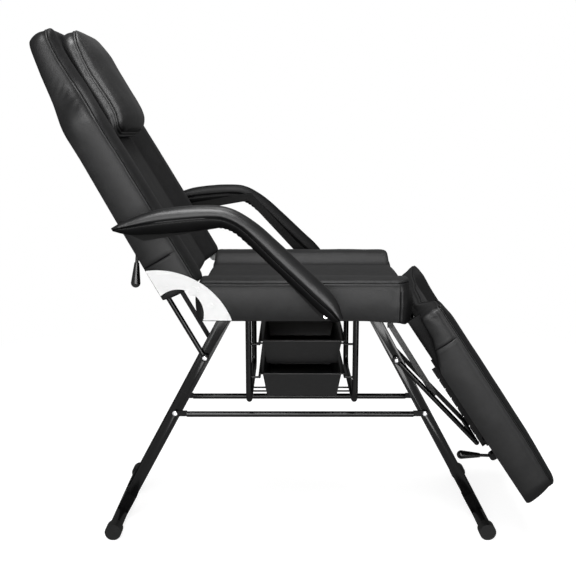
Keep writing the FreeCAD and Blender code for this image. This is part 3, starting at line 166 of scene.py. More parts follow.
class Shading(Nodes):
    """The node tree of one finish: a Principled shader with patterns, relief and sheen."""

    EDGE_BOOST = 3.0
    EDGE_POWER = 4.0

    def __init__(self, name: str) -> None:
        """Start the material.

        Args:
            name: Name of the material.
        """
        self.material = bpy.data.materials.new(name)
        self.material.use_nodes = True
        super().__init__(self.material.node_tree)
        self.output = self.node("ShaderNodeOutputMaterial")
        self.shader = self.node("ShaderNodeBsdfPrincipled")
        self.link(self.shader.outputs[0], self.output.inputs[0])
        self.coordinates = self.node("ShaderNodeTexCoord")

    def set(self, **values: object) -> None:
        """Set unlinked sockets of the shader by name, with spaces as underscores."""
        for name, value in values.items():
            self.shader.inputs[name.replace("_", " ")].default_value = value

    def texture(self, kind: str, stretch: Triple = (1, 1, 1), **values: object) -> bpy.types.Node:
        """Add a texture that reads object coordinates.

        Args:
            kind: Blender's name of the texture node.
            stretch: Scale of the coordinates along X, Y and Z.
            values: Properties and socket values of the texture.

        Returns:
            The texture node.
        """
        mapping = self.node("ShaderNodeMapping", Scale=stretch)
        self.link(self.coordinates.outputs["Object"], mapping.inputs["Vector"])
        made = self.node(kind, **values)
        self.link(mapping.outputs[0], made.inputs["Vector"])
        return made

    def cloud(self, scale: float, detail: float, rough: float = 0.5, stretch: Triple = (1, 1, 1)) -> Socket:
        """Add cloudy noise.

        Args:
            scale: How fine it is.
            detail: How many finer layers it has.
            rough: How strong the finer layers are.
            stretch: Scale of the coordinates along X, Y and Z.

        Returns:
            The socket with the noise.
        """
        made = self.texture("ShaderNodeTexNoise", stretch, Scale=scale, Detail=detail, Roughness=rough)
        return made.outputs["Fac"]

    def spread(self, source: Socket, span: Span, onto: Span = (0.0, 1.0)) -> Socket:
        """Map a value from one range to another.

        Args:
            source: Socket that gives the value.
            span: Start and end of the source range.
            onto: Results at the start and the end.

        Returns:
            The socket with the result.
        """
        made = self.node(
            "ShaderNodeMapRange", From_Min=span[0], From_Max=span[1], To_Min=onto[0], To_Max=onto[1],
        )
        self.link(source, made.inputs["Value"])
        return made.outputs["Result"]

    def blend_colours(self, share: Socket, first: Triple, second: Triple) -> Socket:
        """Mix two colours by a value.

        Args:
            share: Socket that gives the share of the second colour.
            first: Colour at zero.
            second: Colour at one.

        Returns:
            The socket with the mixed colour.
        """
        made = self.node("ShaderNodeMix", data_type="RGBA")
        for socket, colour in zip([s for s in made.inputs if s.type == "RGBA"], (first, second)):
            socket.default_value = (*colour, 1)
        self.link(share, made.inputs["Factor"])
        return next(s for s in made.outputs if s.type == "RGBA")

    def tint(self, share: Socket, first: Triple, second: Triple) -> None:
        """Blend two colours into the shader's base colour."""
        self.link(self.blend_colours(share, first, second), self.shader.inputs["Base Color"])

    def vary_roughness(self, source: Socket, span: Span, onto: Span) -> None:
        """Let a pattern move the shader's roughness between two values."""
        self.link(self.spread(source, span, onto), self.shader.inputs["Roughness"])

    def bump(
        self, height: Socket, strength: float, distance: float, before: bpy.types.Node | None = None,
    ) -> bpy.types.Node:
        """Add relief from a height.

        Args:
            height: Socket that gives the height.
            strength: How much of the relief shows.
            distance: Height of the relief in metres.
            before: An earlier relief to build on.

        Returns:
            The relief node, linked to the shader.
        """
        made = self.node("ShaderNodeBump", Strength=strength, Distance=distance)
        self.link(height, made.inputs["Height"])
        if before is not None:
            self.link(before.outputs["Normal"], made.inputs["Normal"])
        self.link(made.outputs["Normal"], self.shader.inputs["Normal"])
        return made

    def sheen(self, weight: float, roughness: float) -> None:
        """Add a sheen over the shader that grows gently towards grazing angles.

        Args:
            weight: Share of the light that it throws back, seen square on.
            roughness: How wide the sheen spreads.
        """
        gloss = self.node("ShaderNodeBsdfAnisotropic", Roughness=roughness)
        slant = self.node("ShaderNodeLayerWeight", Blend=0.5)
        power = self.node("ShaderNodeMath", operation="POWER")
        power.inputs[1].default_value = self.EDGE_POWER
        self.link(slant.outputs["Facing"], power.inputs[0])
        colour = self.blend_colours(power.outputs[0], grey(weight), grey(weight * self.EDGE_BOOST))
        self.link(colour, gloss.inputs["Color"])
        relief = self.shader.inputs["Normal"].links
        if relief:
            self.link(relief[0].from_socket, gloss.inputs["Normal"])
        both = self.join("ShaderNodeAddShader", self.shader.outputs[0], gloss.outputs[0])
        self.link(both, self.output.inputs[0])
        self.set(Specular_IOR_Level=0.0)


@dataclass(frozen=True)
class Vinyl:
    """Upholstery vinyl with a pebbled grain, slight mottling, soft slack and a worn sheen."""

    name: str = "upholstery_vinyl"
    dark: Triple = grey(0.0035, 0.0002)
    light: Triple = grey(0.0065, 0.0003)
    roughness: float = 0.47
    grain_scale: float = 620.0
    sheen: float = 0.0110
    grain_height: float = 0.00012
    grain_strength: float = 0.6
    pore_strength: float = 0.25
    slack_height: float = 0.0016
    slack_strength: float = 0.35
    slack_scale: float = 26.0
    mottle_scale: float = 38.0
    wear_scale: float = 7.0
    wear: float = 0.05
    middle_span: Span = (0.35, 0.65)
    grain_span: Span = (0.0, 0.35)

    def make(self) -> bpy.types.Material:
        """Build the finish.

        Returns:
            The material.
        """
        s = Shading(self.name)
        grain = s.texture("ShaderNodeTexVoronoi", feature="DISTANCE_TO_EDGE", Scale=self.grain_scale)
        mottle = s.cloud(self.mottle_scale, detail=5.0, rough=0.6)
        s.tint(s.spread(mottle, self.middle_span), self.dark, self.light)
        worn = (self.roughness - self.wear, self.roughness + self.wear)
        s.vary_roughness(s.cloud(self.wear_scale, detail=4.0), self.middle_span, worn)
        slack = s.bump(s.cloud(self.slack_scale, detail=2.0), self.slack_strength, self.slack_height)
        fine = s.cloud(self.grain_scale * 2, detail=3.0)
        pores = s.bump(fine, self.pore_strength, self.grain_height / 2, slack)
        cells = s.spread(grain.outputs["Distance"], self.grain_span)
        s.bump(cells, self.grain_strength, self.grain_height, pores)
        s.sheen(self.sheen, self.roughness)
        return s.material


@dataclass(frozen=True)
class Paint:
    """Sprayed and baked paint on steel, with faint orange peel and rubbed patches."""

    name: str
    colour: Triple
    rubbed: Triple
    roughness: float
    sheen: float = 0.0
    coat: float = 0.0
    coat_roughness: float = 0.12
    peel_height: float = 0.00012
    peel_strength: float = 0.3
    peel_scale: float = 420.0
    rub_scale: float = 22.0
    rub_span: Span = (0.45, 0.75)
    gloss_span: Span = (0.3, 0.7)
    smoother: float = 0.04
    rougher: float = 0.08

    def make(self) -> bpy.types.Material:
        """Build the finish.

        Returns:
            The material.
        """
        s = Shading(self.name)
        rub = s.cloud(self.rub_scale, detail=6.0, rough=0.65)
        s.tint(s.spread(rub, self.rub_span), self.colour, self.rubbed)
        worn = (self.roughness - self.smoother, self.roughness + self.rougher)
        s.vary_roughness(rub, self.gloss_span, worn)
        s.bump(s.cloud(self.peel_scale, detail=2.0), self.peel_strength, self.peel_height)
        s.set(Coat_Weight=self.coat, Coat_Roughness=self.coat_roughness)
        if self.sheen:
            s.sheen(self.sheen, self.roughness)
        return s.material


@dataclass(frozen=True)
class PlatedSteel:
    """Zinc-plated steel with fine brushing and light tarnish."""

    name: str = "zinc_plating"
    colour: Triple = grey(0.80, 0.01)
    tarnish: Triple = grey(0.62, 0.02)
    roughness: float = 0.32
    vary: float = 0.08
    brush_scale: float = 900.0
    brush_stretch: Triple = (1, 0.15, 1)
    brush_height: float = 0.00005
    brush_strength: float = 0.2
    tarnish_scale: float = 70.0
    tarnish_span: Span = (0.4, 0.7)
    gloss_span: Span = (0.3, 0.7)

    def make(self) -> bpy.types.Material:
        """Build the finish.

        Returns:
            The material.
        """
        s = Shading(self.name)
        brush = s.cloud(self.brush_scale, detail=2.0, stretch=self.brush_stretch)
        dull = s.cloud(self.tarnish_scale, detail=4.0)
        s.tint(s.spread(dull, self.tarnish_span), self.colour, self.tarnish)
        s.vary_roughness(brush, self.gloss_span, (self.roughness - self.vary, self.roughness + self.vary))
        s.bump(brush, self.brush_strength, self.brush_height)
        s.set(Metallic=1.0)
        return s.material


@dataclass(frozen=True)
class Moulded:
    """Plastic, rubber or thread with a fine grain and scuffed patches."""

    name: str
    colour: Triple
    scuffed: Triple
    roughness: float
    sheen: float = 0.012
    grain_scale: float = 900.0
    grain_height: float = 0.0001
    grain_strength: float = 0.4
    scuff_scale: float = 45.0
    scuff_stretch: Triple = (1, 1, 3)
    scuff_span: Span = (0.5, 0.8)
    gloss_span: Span = (0.3, 0.7)
    smoother: float = 0.05
    rougher: float = 0.08

    def make(self) -> bpy.types.Material:
        """Build the finish.

        Returns:
            The material.
        """
        s = Shading(self.name)
        scuff = s.cloud(self.scuff_scale, detail=6.0, rough=0.7, stretch=self.scuff_stretch)
        s.tint(s.spread(scuff, self.scuff_span), self.colour, self.scuffed)
        worn = (self.roughness - self.smoother, self.roughness + self.rougher)
        s.vary_roughness(scuff, self.gloss_span, worn)
        s.bump(s.cloud(self.grain_scale, detail=2.0), self.grain_strength, self.grain_height)
        s.sheen(self.sheen, self.roughness)
        return s.material


@dataclass(frozen=True)
class Plywood:
    """Raw birch plywood with grain along the chair."""

    name: str = "plywood"
    pale: Triple = (0.52, 0.37, 0.22)
    dark: Triple = (0.33, 0.21, 0.11)
    roughness: float = 0.72
    grain_scale: float = 26.0
    grain_stretch: Triple = (0.25, 1, 1)
    fibre_scale: float = 420.0
    fibre_stretch: Triple = (0.06, 1, 1)
    fibre_height: float = 0.0002
    fibre_strength: float = 0.4

    def make(self) -> bpy.types.Material:
        """Build the finish.

        Returns:
            The material.
        """
        s = Shading(self.name)
        grain = s.texture(
            "ShaderNodeTexWave", self.grain_stretch, Scale=self.grain_scale, Distortion=7.0, Detail=4.0,
            bands_direction="Y",
        )
        s.tint(grain.outputs["Fac"], self.pale, self.dark)
        fibre = s.cloud(self.fibre_scale, detail=3.0, stretch=self.fibre_stretch)
        s.bump(fibre, self.fibre_strength, self.fibre_height)
        s.set(Roughness=self.roughness)
        return s.material


class Finishes:
    """Every finish of the chair, built once."""

    def __init__(self) -> None:
        """Build the materials."""
        self.vinyl = Vinyl().make()
        # Lighter, glossier copy of the upholstery vinyl: painted light on the pillow.
        self.lit_pillow_vinyl = Vinyl(
            "lit_pillow_vinyl", grey(0.0055, 0.0002), grey(0.0095, 0.0003), 0.42, 700.0, 0.0180,
        ).make()
        # Darker, nearly sheenless copy of the upholstery vinyl: painted shade for the arms' lower halves and
        # the set-in panels.
        self.shade_painted_vinyl = Vinyl(
            "shade_painted_vinyl", grey(0.0022, 0.0001), grey(0.0040, 0.0002), 0.50, 640.0, 0.0030,
        ).make()
        # Darker, less glossy copy of the upholstery vinyl: painted shade on the far arm.
        self.far_arm_shaded_vinyl = Vinyl(
            "far_arm_shaded_vinyl", grey(0.0025, 0.0001), grey(0.0045, 0.0002), 0.50, 640.0, 0.0055,
        ).make()
        self.arm_vinyl = Vinyl("arm_vinyl", roughness=0.36, grain_scale=700.0, sheen=0.0150).make()
        self.cloth = Moulded("underlining_cloth", grey(0.003), grey(0.007), 0.7, 0.004, 1500.0).make()
        self.thread = Moulded("sewing_thread", grey(0.008), grey(0.02), 0.5, grain_scale=2500.0).make()
        self.black = Paint("black_enamel", grey(0.0025, 0.0002), grey(0.005, 0.0003), 0.20, 0.012).make()
        # Lighter copy of the black enamel for the leg stay: painted highlight along the bar.
        self.lit_stay_paint = Paint("lit_stay_enamel", grey(0.008), grey(0.013), 0.30, 0.020).make()
        # Darker, duller copy of the black enamel for the arm bars: painted shade under the pads.
        self.matt = Paint("shaded_bar_enamel", grey(0.002), grey(0.004), 0.5, 0.004).make()
        self.white = Paint("white_enamel", grey(0.84), grey(0.78), 0.35, coat=0.1, peel_height=0.0001).make()
        self.zinc = PlatedSteel().make()
        self.rubber = Moulded("cap_rubber", grey(0.005), grey(0.012), 0.40).make()
        self.tray = Moulded("tray_plastic", grey(0.004, 0.0002), grey(0.008, 0.0003), 0.30, 0.018).make()
        self.grip = Moulded("grip_plastic", grey(0.005), grey(0.012), 0.24, 0.02).make()
        self.wood = Plywood().make()

    def dress_nodes(self) -> None:
        """Give every carried-over node the finish of its slot, or its own."""
        by_slot = {
            Slot.VINYL: self.vinyl, Slot.PLYWOOD: self.wood, Slot.STEEL: self.black,
            Slot.WHITE_STEEL: self.white, Slot.ZINC: self.zinc, Slot.RUBBER: self.rubber,
            Slot.TRAY: self.tray, Slot.GRIP: self.grip,
        }
        # The leg stay takes the lighter enamel as painted highlight; the arm bars take the darker one as
        # painted shade.
        own = {"leg_stay": self.lit_stay_paint, "armrest_left_bar": self.matt, "armrest_right_bar": self.matt}
        slots = {part["node"]: Slot(part["material_slot"]) for part in frame["record"]["subparts"]}
        for name, node in frame["nodes"].items():
            node.data.materials.clear()
            node.data.materials.append(own.get(name, by_slot[slots[name]]))


class Workshop:
    """Turns finished meshes into pieces that ride on the chair's bodies."""

    COPY_WELD = 0.00002
    FLAT_DEG = 0.6
    SHARP_DEG = 35.0

    def __init__(self, finishes: Finishes) -> None:
        """Keep the finishes at hand."""
        self.finishes = finishes

    def piece(
        self,
        mesh: bmesh.types.BMesh,
        name: str,
        material: bpy.types.Material,
        body: Body,
        nodes: Iterable[str] = (),
        smooth_deg: float = 60.0,
        recalculate: bool = True,
    ) -> bpy.types.Object:
        """Make an object from a mesh, dress it and let it ride.

        Args:
            mesh: The finished mesh, which is freed.
            name: Name of the piece.
            material: Its finish.
            body: The body that it rides on.
            nodes: CAD nodes that it stands for.
            smooth_deg: Edges turning more than this stay sharp.
            recalculate: Whether to turn the faces outwards first.

        Returns:
            The new object.
        """
        if recalculate:
            bmesh.ops.recalc_face_normals(mesh, faces=mesh.faces)
        data = bpy.data.meshes.new(name)
        mesh.to_mesh(data)
        mesh.free()
        data.materials.append(material)
        data.shade_smooth()
        data.set_sharp_from_angle(angle=math.radians(smooth_deg))
        made = bpy.data.objects.new(name, data)
        bpy.context.scene.collection.objects.link(made)
        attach(made, body.value)
        if nodes:
            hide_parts(*nodes)
        LOG.info("piece %s: %d faces on %s", name, len(data.polygons), body.value)
        return made

    def eased(
        self, node: str, name: str, material: bpy.types.Material, body: Body, edge: float,
    ) -> bpy.types.Object:
        """Stand in for a rigid node with the same piece, its edges eased as on pressed and cut steel.

        Args:
            node: CAD node to copy.
            name: Name of the new piece.
            material: Its finish.
            body: The body that it rides on.
            edge: Width of the eased edge in metres.

        Returns:
            The new object.
        """
        mesh = bmesh.new()
        mesh.from_mesh(frame["nodes"][node].data)
        bmesh.ops.remove_doubles(mesh, verts=mesh.verts, dist=self.COPY_WELD)
        flat = math.radians(self.FLAT_DEG)
        bmesh.ops.dissolve_limit(mesh, angle_limit=flat, verts=mesh.verts, edges=mesh.edges)
        limit = math.radians(self.SHARP_DEG)
        sharp = [e for e in mesh.edges if e.is_manifold and e.calc_face_angle(0.0) > limit]
        bmesh.ops.bevel(
            mesh, geom=sharp, offset=edge, offset_type="OFFSET", segments=2, profile=0.5, affect="EDGES",
            material=-1, clamp_overlap=True,
        )
        return self.piece(mesh, name, material, body, [node], smooth_deg=50.0, recalculate=False)

    def stitches(self, name: str, body: Body, spots: Spots) -> bpy.types.Object:
        """Thread stitches, one small bar at each spot.

        Args:
            name: Name of the piece.
            body: The body that it rides on.
            spots: Pairs of a place and the direction and length of a stitch.

        Returns:
            The stitching as one object.
        """
        mesh = bmesh.new()
        for here, run in spots:
            turn = run.to_track_quat("Z", "Y").to_matrix().to_4x4()
            bmesh.ops.create_cone(
                mesh, cap_ends=True, cap_tris=False, segments=5, radius1=THREAD_RADIUS,
                radius2=THREAD_RADIUS, depth=run.length, matrix=Matrix.Translation(here) @ turn,
            )
        return self.piece(mesh, name, self.finishes.thread, body, smooth_deg=80.0)


def spread_lengths(
    start: float, end: float, count: int, crowd: float, marks: Sequence[float] = (), gap: float = 0.0016,
) -> list[float]:
    """Lengths between two ends, closer together near both, with five of them around each mark.

    Args:
        start: First length.
        end: Last length.
        count: How many steps to make.
        crowd: How much the steps shrink at the ends, from 0 to 1.
        marks: Lengths that need a fine line, such as a seam.
        gap: Distance between the neighbours around a mark.

    Returns:
        The lengths in order.
    """
    lengths = [start + (end - start) * crowded(i / count, crowd) for i in range(count + 1)]
    for mark in marks:
        nearest = min(range(2, count - 1), key=lambda i: abs(lengths[i] - mark))
        for step in (-2, -1, 0, 1, 2):
            lengths[nearest + step] = mark + gap * step
    return lengths


def crowded(share: float, crowd: float) -> float:
    """A share from 0 to 1 whose even steps become closer at both ends."""
    return share - crowd * math.sin(2 * math.pi * share) / (2 * math.pi)


def rounded_drop(distance: float, width: float, height: float) -> float:
    """How far a rounded edge has fallen at a distance from it.

    Args:
        distance: Distance from the edge.
        width: Width of the rounding.
        height: Fall at the edge.

    Returns:
        The fall, zero inside the rounding's width.
    """
    if distance >= width:
        return 0.0
    share = 1 - max(distance, 0.0) / width
    return height * (1 - math.sqrt(max(0.0, 1 - share * share)))


def rounded_share(share: float, powers: Span) -> float:
    """Height left on a rounding: 1 where the share is 0, falling to 0 where it is 1."""
    return max(0.0, 1 - share ** powers[0]) ** powers[1]


def read_table(table: Table, at: float) -> float:
    """Read a value from a table of stations, in straight lines between its entries.

    Args:
        table: Pairs of a station and a value, in order of station.
        at: Where to read.

    Returns:
        The value, held at the first and last entry beyond the ends.
    """
    if at <= table[0][0]:
        return table[0][1]
    for (near, low), (far, high) in zip(table, table[1:]):
        if at <= far:
            return low + (high - low) * (at - near) / (far - near)
    return table[-1][1]


def ease(value: float, start: float, end: float) -> float:
    """Smooth step from 0 at start to 1 at end."""
    t = min(1.0, max(0.0, (value - start) / (end - start)))
    return t * t * (3 - 2 * t)


def bell(value: float, middle: float, width: float) -> float:
    """Bell curve, 1 in the middle and falling off with the width."""
    return math.exp(-(((value - middle) / width) ** 2))


@dataclass(frozen=True)
class Plane:
    """Seam plane of a section: a point of the chair, the plane's lift above it, and its lean.

    The way is 1 where the section runs towards the foot end and -1 towards the head.
    """

    x: float
    z: float
    lift: float = 0.0
    lean_deg: float = 0.0
    way: int = 1

    @cached_property
    def along(self) -> Vector:
        """Direction along the section."""
        lean = math.radians(self.lean_deg)
        return Vector((self.way * math.cos(lean), 0.0, -self.way * math.sin(lean)))

    @cached_property
    def up(self) -> Vector:
        """Direction out of the section's top."""
        lean = math.radians(self.lean_deg)
        return Vector((math.sin(lean), 0.0, math.cos(lean)))

    @cached_property
    def origin(self) -> Vector:
        """Where lengths and heights start."""
        return Vector((self.x, 0.0, self.z)) + self.up * self.lift

    def place(self, s: float, y: float, h: float) -> Vector:
        """Point of the chair at a length, a distance across and a height."""
        return self.origin + self.along * s + Vector((0.0, y, 0.0)) + self.up * h


SEAT_PLANE = Plane(0.0, 0.7275)
BACK_PLANE = Plane(-0.2687, 0.709, lift=0.0185, lean_deg=60.0, way=-1)
LEG_PLANE = Plane(0.267, 0.649, lift=0.0785, lean_deg=56.2)


@dataclass(frozen=True)
class Dent:
    """A soft swelling of a wall, or a dent where its push is negative.

    Both spans are a middle and a width.
    """

    push: float
    along: Span
    down: Span

    def at(self, s: float, depth: float) -> float:
        """Push at a point of the wall."""
        return self.push * bell(s, *self.along) * bell(depth, *self.down)


@dataclass(frozen=True)
class Puckers:
    """Small folds where a cover is drawn around a corner.

    The span is the distance of their middle from the section's end and their width.
    """

    height: float
    along: Span
    waves_down: float
    waves_along: float
    fade: float

    def at(self, s: float, away: float, depth: float) -> float:
        """Push at a point of the wall, by its distance from the section's end."""
        waves = math.sin(depth * self.waves_down + s * self.waves_along)
        return self.height * waves * bell(away, *self.along) * math.exp(-depth / self.fade)


@dataclass
class PaddedSection:
    """One upholstered section: crowned top with side bolsters, a sewn rim and covered walls."""

    name: str
    body: Body
    nodes: tuple[str, ...]
    plane: Plane
    start: float
    end: float
    wall_line: Table
    base_line: Table = ((0.0, 0.0),)
    foam_height: float = 0.058
    half_width: float = 0.2955
    corner_start: float = 0.008
    corner_end: float = 0.030
    bolster_width: float = 0.092
    slope_width: float = 0.050
    slope_lead: float = 0.020
    sink: float = 0.029
    crown: float = 0.0020
    middle_rise: float = 0.005
    rim_drop: float = 0.0045
    rim_round: float = 0.018
    end_drop: float = 0.0035
    end_round: float = 0.013
    far_drop: float = 0.0
    far_round: float = 0.0
    bulge: float = 0.0042
    bulge_powers: Span = (0.75, 0.8)
    foot_tuck: float = 0.0030
    foot_tuck_power: float = 4
    inner_wall: float = 0.015
    end_lean: float = 0.0
    foot_return: float = 0.35
    foot_return_power: float = 14
    end_slack: float = 1.0
    start_draw: float = 0.0
    start_draw_span: Span = (-0.10, 0.25)
    start_draw_power: float = 3
    dents: Span = (0.0009, 11.0)
    puckers: Span = (0.0006, 55.0)
    pucker_fade: float = 0.03
    wall_dents: Span = (0.0009, 13.0)
    wall_puckers: Span = (0.0006, 62.0)
    wall_pucker_fade: float = 9.0
    rim_rings: Table = (
        (-0.0010, 0.0003), (-0.0036, 0.0012), (-0.0036, 0.0026), (0.0002, 0.0036), (0.0014, 0.0056),
        (0.0010, 0.0084), (0.0005, 0.0108),
    )
    rim_depth: float = 0.0125
    far_rim_share: float = 0.85
    wall_rings: int = 12
    cross_seams: tuple[float, ...] = ()
    groove: Span = (0.0022, 0.0013)
    ridge: Span = (0.0012, 0.0022)
    ridge_away: float = 0.0042
    stitch_spacing: float = 0.0075
    rim_stitch: Span = (0.0012, 0.0085)
    seam_stitch_away: float = 0.0045
    seam_stitch_out: float = 0.0014
    seam_stitch_top: float = 0.016
    seam_stitch_free: float = 0.022
    rows: int = 132
    columns: int = 104
    end_crowd: float = 0.62
    side_crowd: float = 0.3
    seed: float = 0.0

    def half_at(self, s: float) -> float:
        """Half the width of the section at a length, with its corners rounded.

        Args:
            s: Length along the section.

        Returns:
            The half width at the sewn rim.
        """
        half = self.width_at(s)
        for distance, corner in ((s - self.start, self.corner_start), (self.end - s, self.corner_end)):
            if distance < corner:
                rest = corner - max(0.0, distance)
                half -= corner - math.sqrt(max(0.0, corner * corner - rest * rest))
        return half

    def width_at(self, s: float) -> float:
        """Half width before the corners are rounded."""
        return self.half_width

    def base_at(self, s: float) -> float:
        """Height of the sewn rim at a length."""
        return read_table(self.base_line, s)

    def wall_at(self, s: float, y: float) -> float:
        """How deep the covered wall hangs below the seam plane."""
        return read_table(self.wall_line, s)

    def wall_folds(self, s: float, y: float, depth: float) -> float:
        """Extra folds of the side walls, none on a plain section."""
        return 0.0

    def end_folds(self, y: float, depth: float) -> float:
        """Extra folds of the end walls, none on a plain section."""
        return 0.0

    def finish(self, finishes: Finishes) -> bpy.types.Material:
        """Vinyl of the cover."""
        return finishes.vinyl

    def profile(self, s: float, inward: float) -> float:
        """Height of the top across the section, by the distance from its side.

        Args:
            s: Length along the section.
            inward: Distance from the side.

        Returns:
            Height above the seam plane.
        """
        bolster = self.bolster_width
        t = min(1.0, inward / bolster)
        height = self.crown * (1 - (2 * t - 1) ** 2)
        foot = bolster + self.slope_width
        if inward > bolster - self.slope_lead:
            fall = ease(inward, bolster - self.slope_lead, foot)
            height = height * (1 - fall) - self.sink * fall
        if inward > foot:
            reach = max(MM, self.width_at(s) - foot)
            height += self.middle_rise * (1 - ((reach - (inward - foot)) / reach) ** 2)
        return height

    def top(self, s: float, y: float) -> float:
        """Height of the top surface.

        Args:
            s: Length along the section.
            y: Distance across the chair.

        Returns:
            Height above the seam plane.
        """
        half = self.half_at(s)
        side = half - abs(y)
        ends = min(s - self.start, self.end - s)
        width, drop = self.end_round, self.end_drop
        if self.far_drop and self.end - s < s - self.start:
            width, drop = self.far_round, self.far_drop
        height = self.base_at(s) + self.profile(s, side + self.width_at(s) - half)
        height += self.rim_drop - rounded_drop(side, self.rim_round, self.rim_drop)
        height -= rounded_drop(ends, width, drop)
        spot = Vector((s, y, self.seed))
        fade = math.exp(-max(0.0, min(side, ends)) / self.pucker_fade)
        height += self.dents[0] * noise.noise(spot * self.dents[1])
        return height + self.puckers[0] * noise.noise(spot * self.puckers[1]) * fade

    def outward(self, s: float, y: float, row_end: int) -> Vector:
        """Direction away from the section at its rim, in length and width.

        Args:
            s: Length along the section.
            y: Distance across the chair.
            row_end: -1 or 1 on the first or last row, else 0.

        Returns:
            The direction, of length one.
        """
        if row_end:
            return Vector((row_end, 0.0))
        step = 0.4 * MM
        ahead = self.half_at(min(self.end, s + step))
        behind = self.half_at(max(self.start, s - step))
        return Vector((-(ahead - behind) / (2 * step), math.copysign(1.0, y))).normalized()

    def wall_push(self, s: float, y: float, height: float, share: float, out: Vector, row_end: int) -> float:
        """How far the wall stands out.

        Args:
            s: Length along the section.
            y: Distance across the chair.
            height: Height of the point.
            share: How far down the wall it lies, from 0 to 1.
            out: Direction away from the section.
            row_end: -1 or 1 on the first or last row, else 0.

        Returns:
            The distance from the rim's own line.
        """
        spot = Vector((s, y, height + self.seed))
        low, steep = self.bulge_powers
        push = self.bulge * math.sin(math.pi * share ** low) ** steep
        push -= self.foot_tuck * share ** self.foot_tuck_power
        push *= 1 - (1 - self.end_slack) * abs(out.x)
        push += self.wall_dents[0] * noise.noise(spot * self.wall_dents[1]) * math.sin(math.pi * share)
        fade = math.exp(-share * self.wall_pucker_fade)
        push += self.wall_puckers[0] * noise.noise(spot * self.wall_puckers[1]) * fade
        push += self.end_folds(y, -height) if row_end else self.wall_folds(s, y, -height)
        for seam in self.cross_seams:
            push -= self.groove[0] * bell(s, seam, self.groove[1])
            push += self.ridge[0] * bell(abs(s - seam), self.ridge_away, self.ridge[1])
        return push

    def point(self, s: float, y: float, number: int, row_end: int) -> Vector:
        """Place one vertex of the cover.

        Args:
            s: Length along the section.
            y: Distance across the chair.
            number: Ring of the vertex, 0 on top.
            row_end: -1 or 1 on the first or last row, else 0.

        Returns:
            The point in the chair's frame.
        """
        rim = self.top(s, y)
        if number == 0:
            return self.plane.place(s, y, rim)
        out = self.outward(s, y, row_end)
        if number <= len(self.rim_rings):
            step, depth = self.rim_rings[number - 1]
            if self.far_drop:
                step *= 1 - self.far_rim_share * max(0.0, out.x)
            return self.plane.place(s + out.x * step, y + out.y * step, rim - depth)
        low = -self.wall_at(s, y)
        below = number - len(self.rim_rings)
        if below > self.wall_rings:
            inner = self.inner_wall
            floor = low if below == self.wall_rings + 1 else -self.foam_height
            return self.plane.place(s - out.x * inner, y - out.y * inner, floor)
        share = below / self.wall_rings
        top = rim - self.rim_depth
        height = top + (low - top) * share
        push = self.wall_push(s, y, height, share, out, row_end)
        lean = self.end_lean * (share - self.foot_return * share ** self.foot_return_power)
        draw = self.start_draw * (1 - (1 - share) ** self.start_draw_power)
        lean = lean * max(0.0, out.x) + draw * max(0.0, -out.x) * ease(y, *self.start_draw_span)
        return self.plane.place(s + out.x * push + lean, y + out.y * push, height)

    def cover(self) -> bmesh.types.BMesh:
        """The whole cover as one closed form.

        Returns:
            The mesh in the chair's frame.
        """
        lengths = spread_lengths(self.start, self.end, self.rows, self.end_crowd, self.cross_seams)
        across = [2 * i / self.columns - 1 for i in range(self.columns + 1)]
        mesh = bmesh.new()
        bmesh.ops.create_grid(mesh, x_segments=self.rows, y_segments=self.columns, size=0.5)
        row = mesh.verts.layers.int.new("row")
        column = mesh.verts.layers.int.new("column")
        level = mesh.verts.layers.int.new("level")
        for v in mesh.verts:
            v[row] = round((v.co.x + 0.5) * self.rows)
            v[column] = round((v.co.y + 0.5) * self.columns)
        for number in range(1, len(self.rim_rings) + self.wall_rings + 3):
            rim = [e for e in mesh.edges if e.is_boundary]
            made = bmesh.ops.extrude_edge_only(mesh, edges=rim)
            for item in made["geom"]:
                if isinstance(item, bmesh.types.BMVert):
                    item[level] = number
        for v in mesh.verts:
            s = lengths[v[row]]
            t = across[v[column]]
            y = ((1 + self.side_crowd) * t - self.side_crowd * t ** 3) * self.half_at(s)
            row_end = 1 if v[row] == self.rows else -1 if v[row] == 0 else 0
            v.co = self.point(s, y, v[level], row_end)
        bmesh.ops.contextual_create(mesh, geom=[e for e in mesh.edges if e.is_boundary])
        return mesh

    def rim_stitches(self) -> Spots:
        """Stitches along both side rims.

        Returns:
            Pairs of a place and the direction and length of a stitch.
        """
        step, depth = self.rim_stitch
        first = self.start + self.corner_start
        count = int((self.end - first - self.corner_end) / self.stitch_spacing)
        spots = []
        for side in (-1, 1):
            for i in range(count):
                s = first + i * self.stitch_spacing
                out = self.outward(s, side, 0)
                ends = []
                for at in (s, s + self.stitch_spacing / 2):
                    y = side * self.half_at(at)
                    rim = self.top(at, y) - depth
                    ends.append(self.plane.place(at + out.x * step, y + out.y * step, rim))
                spots.append((ends[0], ends[1] - ends[0]))
        return spots

    def seam_stitches(self, seam: float) -> Spots:
        """Stitches down both walls beside a cross seam.

        Args:
            seam: Length of the cross seam.

        Returns:
            Pairs of a place and the direction and length of a stitch.
        """
        s = seam + self.seam_stitch_away
        total = self.wall_at(s, -self.half_width)
        spots = []
        for side in (-1, 1):
            y = side * self.half_at(s)
            out = self.outward(s, y, 0)
            for i in range(int((total - self.seam_stitch_free) / self.stitch_spacing)):
                depth = self.seam_stitch_top + i * self.stitch_spacing
                share = (depth - self.rim_depth) / (total - self.rim_depth)
                push = self.bulge * math.sin(math.pi * share) ** self.bulge_powers[1] + self.seam_stitch_out
                here = self.plane.place(s + out.x * push, y + out.y * push, self.top(s, y) - depth)
                spots.append((here, self.plane.up * (-self.stitch_spacing / 2)))
        return spots

